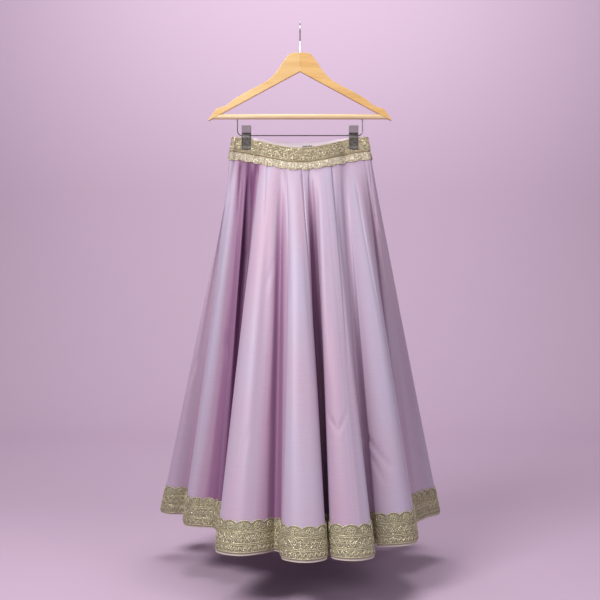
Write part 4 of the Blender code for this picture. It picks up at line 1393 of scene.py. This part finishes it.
for name, start, end in BAND_SPANS:
    draws = np.random.default_rng(int(start * 100) + 31)
    inset = END_GAP / WAIST_LOW.length
    strip = Strip(trim_face, start + inset, end - inset, WAIST_LOW.length, SATIN_THICK / 2 + TRIM_RAISED)
    long = strip.length()
    fine = np.linspace(0.0, long, round(24 * TRIM_SCALLOPS * (end - start)) // 2 * 2)
    phase = (strip.start + fine / strip.around) * TRIM_SCALLOPS
    low = TRIM_SCALLOP * (1 - scallop_rise(phase))
    part = np.linspace(1.0, 0.0, 7)[:, None]
    height = low + (TRIM_TALL - TRIM_START - low) * part
    along = np.broadcast_to(fine, height.shape)
    points = strip.point(along, height)
    uv = np.stack([along, height], axis=-1)
    trim = link_piece("trim_ground_" + name, grid_mesh("trim_ground_" + name, points, uv,
                                                         {"painted_shadow_mask": np.zeros_like(height)}),
                      TRIM_TISSUE, "gold_work", "band_trim_" + name)
    thicken(trim, TRIM_THICK, -1.0)
    paths = [strip.point(fine[1:-1], low[1:-1] + 0.0008, 0.0003),
             strip.point(fine[1:-1], np.full(len(fine) - 2, TRIM_TALL - 0.0022), 0.0003),
             strip.point(fine[1:-1], low[1:-1] * 0.8 + 0.0044, 0.0003)]
    first = math.ceil(strip.start * TRIM_SCALLOPS)
    middles = np.arange(first, math.floor(strip.end * TRIM_SCALLOPS)) + 0.5
    middles = (middles / TRIM_SCALLOPS - strip.start) * strip.around
    cords = joined("trim_cords_" + name, [cord_mesh(paths, 0.0006)], BAND_CORD, "gold_work")
    petals = flower_drawing(middles, np.full_like(middles, TRIM_FLOWER_HEIGHT), *TRIM_FLOWER)
    leaves = joined("trim_leaves_" + name, [leaves_on(strip, *petals, *TRIM_LEAF)],
                    TRIM_BEAD, "gold_work")
    across = np.arange(0.0015, long - 0.001, TRIM_PITCH)
    along, height = scattered(across, np.arange(0.002, 0.0182, TRIM_PITCH), TRIM_SPREAD, draws)
    inside = height > np.interp(along, fine, low) + 0.0014
    beads = joined("trim_sequins_" + name,
                   [sequins_on(strip, along[inside], height[inside], *TRIM_DISC, draws)],
                   TRIM_BEAD, "gold_work")
for shape in SHAPES.values():
    bpy.data.objects.remove(shape)

# %% [markdown]
# ## The wooden hanger and its clips
# The solids of the arms, the rod, the hook and the wires have their final shape, so they only get a
# finish. Wood has long grain lines in two tones, and the right arm was cut from a darker board. The
# clips are pressed steel: an embossed grid on the lever, and ribs on the jaw. Each one closes on a
# real coil round the wire.

# %% Wood and steel
def build_wood(name, light, dark):
    """Varnished wood with grain along x."""
    material, tree, shader = start_material(name, Roughness=0.38, Specular_IOR_Level=0.45, Coat_Weight=0.25,
                                            Coat_Roughness=0.22)
    place = tree.nodes.new("ShaderNodeTexCoord").outputs["Object"]
    broad = noise_node(tree, stretched(tree, place, (5.0, 60.0, 46.0)), 1.0, 3.0, 0.6)
    fine = noise_node(tree, stretched(tree, place, (24.0, 420.0, 420.0)), 1.0, 3.0, 0.6)
    grain = math_node(tree, "ADD", math_node(tree, "MULTIPLY", broad, 0.65),
                      math_node(tree, "MULTIPLY", fine, 0.35))
    tree.links.new(mixed(tree, fitted(tree, grain, 0.36, 0.64), dark, light), shader.inputs["Base Color"])
    tree.links.new(fitted(tree, fine, 0.3, 0.7, 0.44, 0.32), shader.inputs["Roughness"])
    use_bump(tree, shader, fine, 0.20, 0.0004)
    return material


def build_steel(name, colour, worn, roughness, bright_mask=None):
    """Drawn or pressed steel with a slightly uneven shine, and brighter where a mask says so."""
    material, tree, shader = start_material(name, Roughness=roughness, Metallic=0.85)
    place = tree.nodes.new("ShaderNodeTexCoord").outputs["Object"]
    patches = noise_node(tree, place, 160.0, 3.0)
    scratches = noise_node(tree, stretched(tree, place, (900.0, 900.0, 60.0)), 1.0, 2.0)
    tone = mixed(tree, fitted(tree, patches, 0.35, 0.65), colour, worn)
    if bright_mask:
        tone = mixed(tree, mask_of(tree, bright_mask[0]), tone, bright_mask[1])
    tree.links.new(tone, shader.inputs["Base Color"])
    rough = fitted(tree, scratches, 0.3, 0.7, roughness - 0.08, roughness + 0.10)
    tree.links.new(rough, shader.inputs["Roughness"])
    use_bump(tree, shader, scratches, 0.10, 0.0002)
    return material


LEFT_WOOD = build_wood("honey_wood_left", (0.800, 0.560, 0.250), (0.680, 0.425, 0.155))
RIGHT_WOOD = build_wood("honey_wood_right", (0.780, 0.510, 0.200), (0.650, 0.380, 0.120))
ROD_WOOD = build_wood("honey_wood_rod", (0.800, 0.640, 0.400), (0.700, 0.500, 0.260))
BRIGHT_STEEL = build_steel("bright_steel_wire", (0.50, 0.49, 0.49), (0.38, 0.37, 0.37), 0.30)
DARK_STEEL = build_steel("dark_steel_wire", (0.150, 0.145, 0.150), (0.100, 0.095, 0.100), 0.36)
CLIP_STEEL = build_steel("pressed_clip_steel", (0.120, 0.112, 0.105), (0.075, 0.068, 0.062), 0.42,
                         ("lever", (0.480, 0.450, 0.450)))

DRESSED = {"hanger_arm_left": LEFT_WOOD, "hanger_arm_right": RIGHT_WOOD, "hanger_rod": ROD_WOOD,
           "hanger_hook": BRIGHT_STEEL, "drop_wire": DARK_STEEL, "waist_hook": BRIGHT_STEEL,
           "waist_bar": BRIGHT_STEEL}
for node, finish in DRESSED.items():
    for material_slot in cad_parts[node].material_slots:
        material_slot.material = finish
print("dressed:", {node: finish.name for node, finish in DRESSED.items()})

# %% Clips
# how far out the plate lies, and its height
CLIP_STATIONS = ((0.0108, -0.2515), (0.0076, -0.2610), (0.0049, -0.2690), (0.0045, -0.2744),
                 (0.0050, -0.2800), (0.0048, -0.2860), (0.0048, -0.3045), (0.0062, -0.3083))
CLIP_WIDE = 0.0218
CLIP_SHEET = 0.0010
LEVER_LOW_Z = -0.268         # the embossed grid ends here
LEVER_TOP_Z = -0.2515
GRID_SQUARES = 6
GRID_PITCH = 0.0036
RIB_TOP_Z = -0.276
RIBS = 7
EMBOSSED = 0.00035
COIL_TURNS = 9
COIL_RADIUS = 0.0029
COIL_WIDE = 0.0142
COIL_WIRE = 0.0006
DROP_WIRE_Z = -0.2744


def clip_plate(name, centre_x, side, node):
    """A lever above the wire and a jaw below it, bent from one sheet."""
    profile = spline_through(CLIP_STATIONS, closed=False, steps=10)
    along = np.gradient(profile, axis=0)
    normal = np.stack([-along[:, 1], along[:, 0]], axis=1)
    normal /= np.linalg.norm(normal, axis=1, keepdims=True)
    across, row = np.meshgrid(np.linspace(-0.5, 0.5, 57), np.arange(len(profile)))
    height = profile[row, 1]
    squares = np.maximum(np.sin(across * GRID_SQUARES * 2 * math.pi)
                         * np.sin((height - LEVER_TOP_Z) / GRID_PITCH * 2 * math.pi), 0.0)
    ribs = np.cos(across * RIBS * 2 * math.pi) * (np.abs(across) < 0.46)
    relief = np.where(height > LEVER_LOW_Z, squares, np.where(height < RIB_TOP_Z, ribs * 0.5, 0.0)) * EMBOSSED
    rounded = 0.0006 * np.clip((np.abs(across) - 0.44) / 0.06, 0.0, 1.0) ** 2
    out = relief - rounded
    points = np.stack([centre_x + across * CLIP_WIDE,
                       side * (profile[row, 0] + normal[row, 0] * out),
                       height + normal[row, 1] * out], axis=-1)
    uv = np.stack([across * CLIP_WIDE, height], axis=-1)
    lever = np.clip((height - LEVER_LOW_Z) / 0.0008 + 0.5, 0.0, 1.0)
    plate = link_piece(name, grid_mesh(name, points, uv, {"lever": lever}), CLIP_STEEL, "clip_steel", node)
    thicken(plate, CLIP_SHEET, 0.0)


def coil_mesh(centre_x):
    """The clip's spring, wound round the drop wire."""
    angle = np.linspace(0.0, 2 * math.pi * COIL_TURNS, COIL_TURNS * 14 + 1)
    path = np.stack([centre_x + (np.arange(len(angle)) / (len(angle) - 1) - 0.5) * COIL_WIDE,
                     COIL_RADIUS * np.cos(angle), DROP_WIRE_Z + COIL_RADIUS * np.sin(angle)], axis=1)
    return cord_mesh([path], COIL_WIRE)


for side_name, centre_x in (("left", -CLIP_X), ("right", CLIP_X)):
    clip_plate("clip_plate_" + side_name + "_front", centre_x, -1, "clip_" + side_name + "_front")
    clip_plate("clip_plate_" + side_name + "_back", centre_x, 1, "clip_" + side_name + "_back")
    link_piece("clip_coil_" + side_name, coil_mesh(centre_x), BRIGHT_STEEL, "steel",
               "clip_" + side_name + "_spring")
print("clips at x =", -CLIP_X, CLIP_X)

# %% [markdown]
# ## Each gore and its border
# A gore is a tall wedge. The border, band, facing and trim are straight strips. The loop below only
# reads each gore's border pieces.

for gore_name, (start, piece, points) in gore_spans.items():
    ground, ground_points, work = border_pieces[gore_name]

# %% [markdown]
# ## Floor, backdrop and light
# The part hangs in front of one plain sheet of paper that curves up into a backdrop. A key light
# at the upper left shapes the folds. The fill and the top light keep the shade soft, and a fourth
# light only brightens the backdrop.

# %% Floor, light and world
FLOOR_Z = -1.320
FLOOR_FRONT = -4.0
BEND_START, BEND_RADIUS = 2.3, 1.3
BACKDROP_TOP = 3.4
BACKDROP_HALF = 6.0
STAGE_LILAC = (0.515, 0.392, 0.500)
WORLD_COLOUR = (0.86, 0.80, 0.87)
WORLD_STRENGTH = 0.34
# name, place, what it aims at, size, watts, colour
LIGHTS = (
    ("key", (-1.10, -1.6, 0.75), (0.0, 0.0, -0.4), (0.9, 0.9), 46.5, (1.0, 0.98, 0.99)),
    ("fill", (1.9, -2.0, 0.6), (0.0, 0.0, -0.5), (1.2, 1.4), 19.0, (0.97, 0.97, 1.0)),
    ("top", (0.0, 0.2, 1.9), (0.0, 0.3, -1.0), (1.6, 1.2), 46.0, (1.0, 0.99, 1.0)),
    ("backdrop_wash", (0.0, 1.7, 1.7), (0.0, 3.6, 1.1), (3.2, 0.8), 60.0, (1.0, 0.99, 1.0)),
)


def build_stage():
    """A floor that curves up into a backdrop, far enough back for a view from behind."""
    profile = [(FLOOR_FRONT, FLOOR_Z), (BEND_START, FLOOR_Z)]
    angles = np.linspace(-math.pi / 2, 0.0, 16)
    profile += [(BEND_START + BEND_RADIUS * math.cos(a), FLOOR_Z + BEND_RADIUS * (1.0 + math.sin(a)))
                for a in angles[1:]]
    profile.append((BEND_START + BEND_RADIUS, BACKDROP_TOP))
    bm = bmesh.new()
    verts = [bm.verts.new((-BACKDROP_HALF, y, z)) for y, z in profile]
    edges = [bm.edges.new(pair) for pair in zip(verts, verts[1:])]
    grown = bmesh.ops.extrude_edge_only(bm, edges=edges)["geom"]
    moved = [item for item in grown if isinstance(item, bmesh.types.BMVert)]
    bmesh.ops.translate(bm, verts=moved, vec=(2 * BACKDROP_HALF, 0.0, 0.0))
    mesh = bpy.data.meshes.new("backdrop")
    bm.to_mesh(mesh)
    bm.free()
    mesh.shade_smooth()
    backdrop = add_object("backdrop", mesh)
    paper = start_material("backdrop_paper", Roughness=0.9, Specular_IOR_Level=0.1,
                           Base_Color=(*STAGE_LILAC, 1.0))[0]
    mesh.materials.append(paper)


def add_area_light(name, place, aim, size, power, colour):
    """A soft light that the camera itself doesn't see."""
    data = bpy.data.lights.new(name, "AREA")
    data.shape = "RECTANGLE"
    data.size, data.size_y = size
    data.energy = power
    data.color = colour
    light = add_object(name, data)
    light.location = place
    light.visible_camera = False
    way = np.array(aim) - np.array(place)
    light.rotation_euler = (math.acos(-way[2] / np.linalg.norm(way)), 0.0, math.atan2(-way[0], way[1]))


build_stage()
for light_row in LIGHTS:
    add_area_light(*light_row)
world = bpy.data.worlds.new("studio")
world.use_nodes = True
background = world.node_tree.nodes["Background"]
background.inputs["Color"].default_value = (*WORLD_COLOUR, 1.0)
background.inputs["Strength"].default_value = WORLD_STRENGTH
bpy.context.scene.world = world
bpy.context.scene.view_settings.view_transform = "Standard"
print("stage and", len(LIGHTS), "lights")
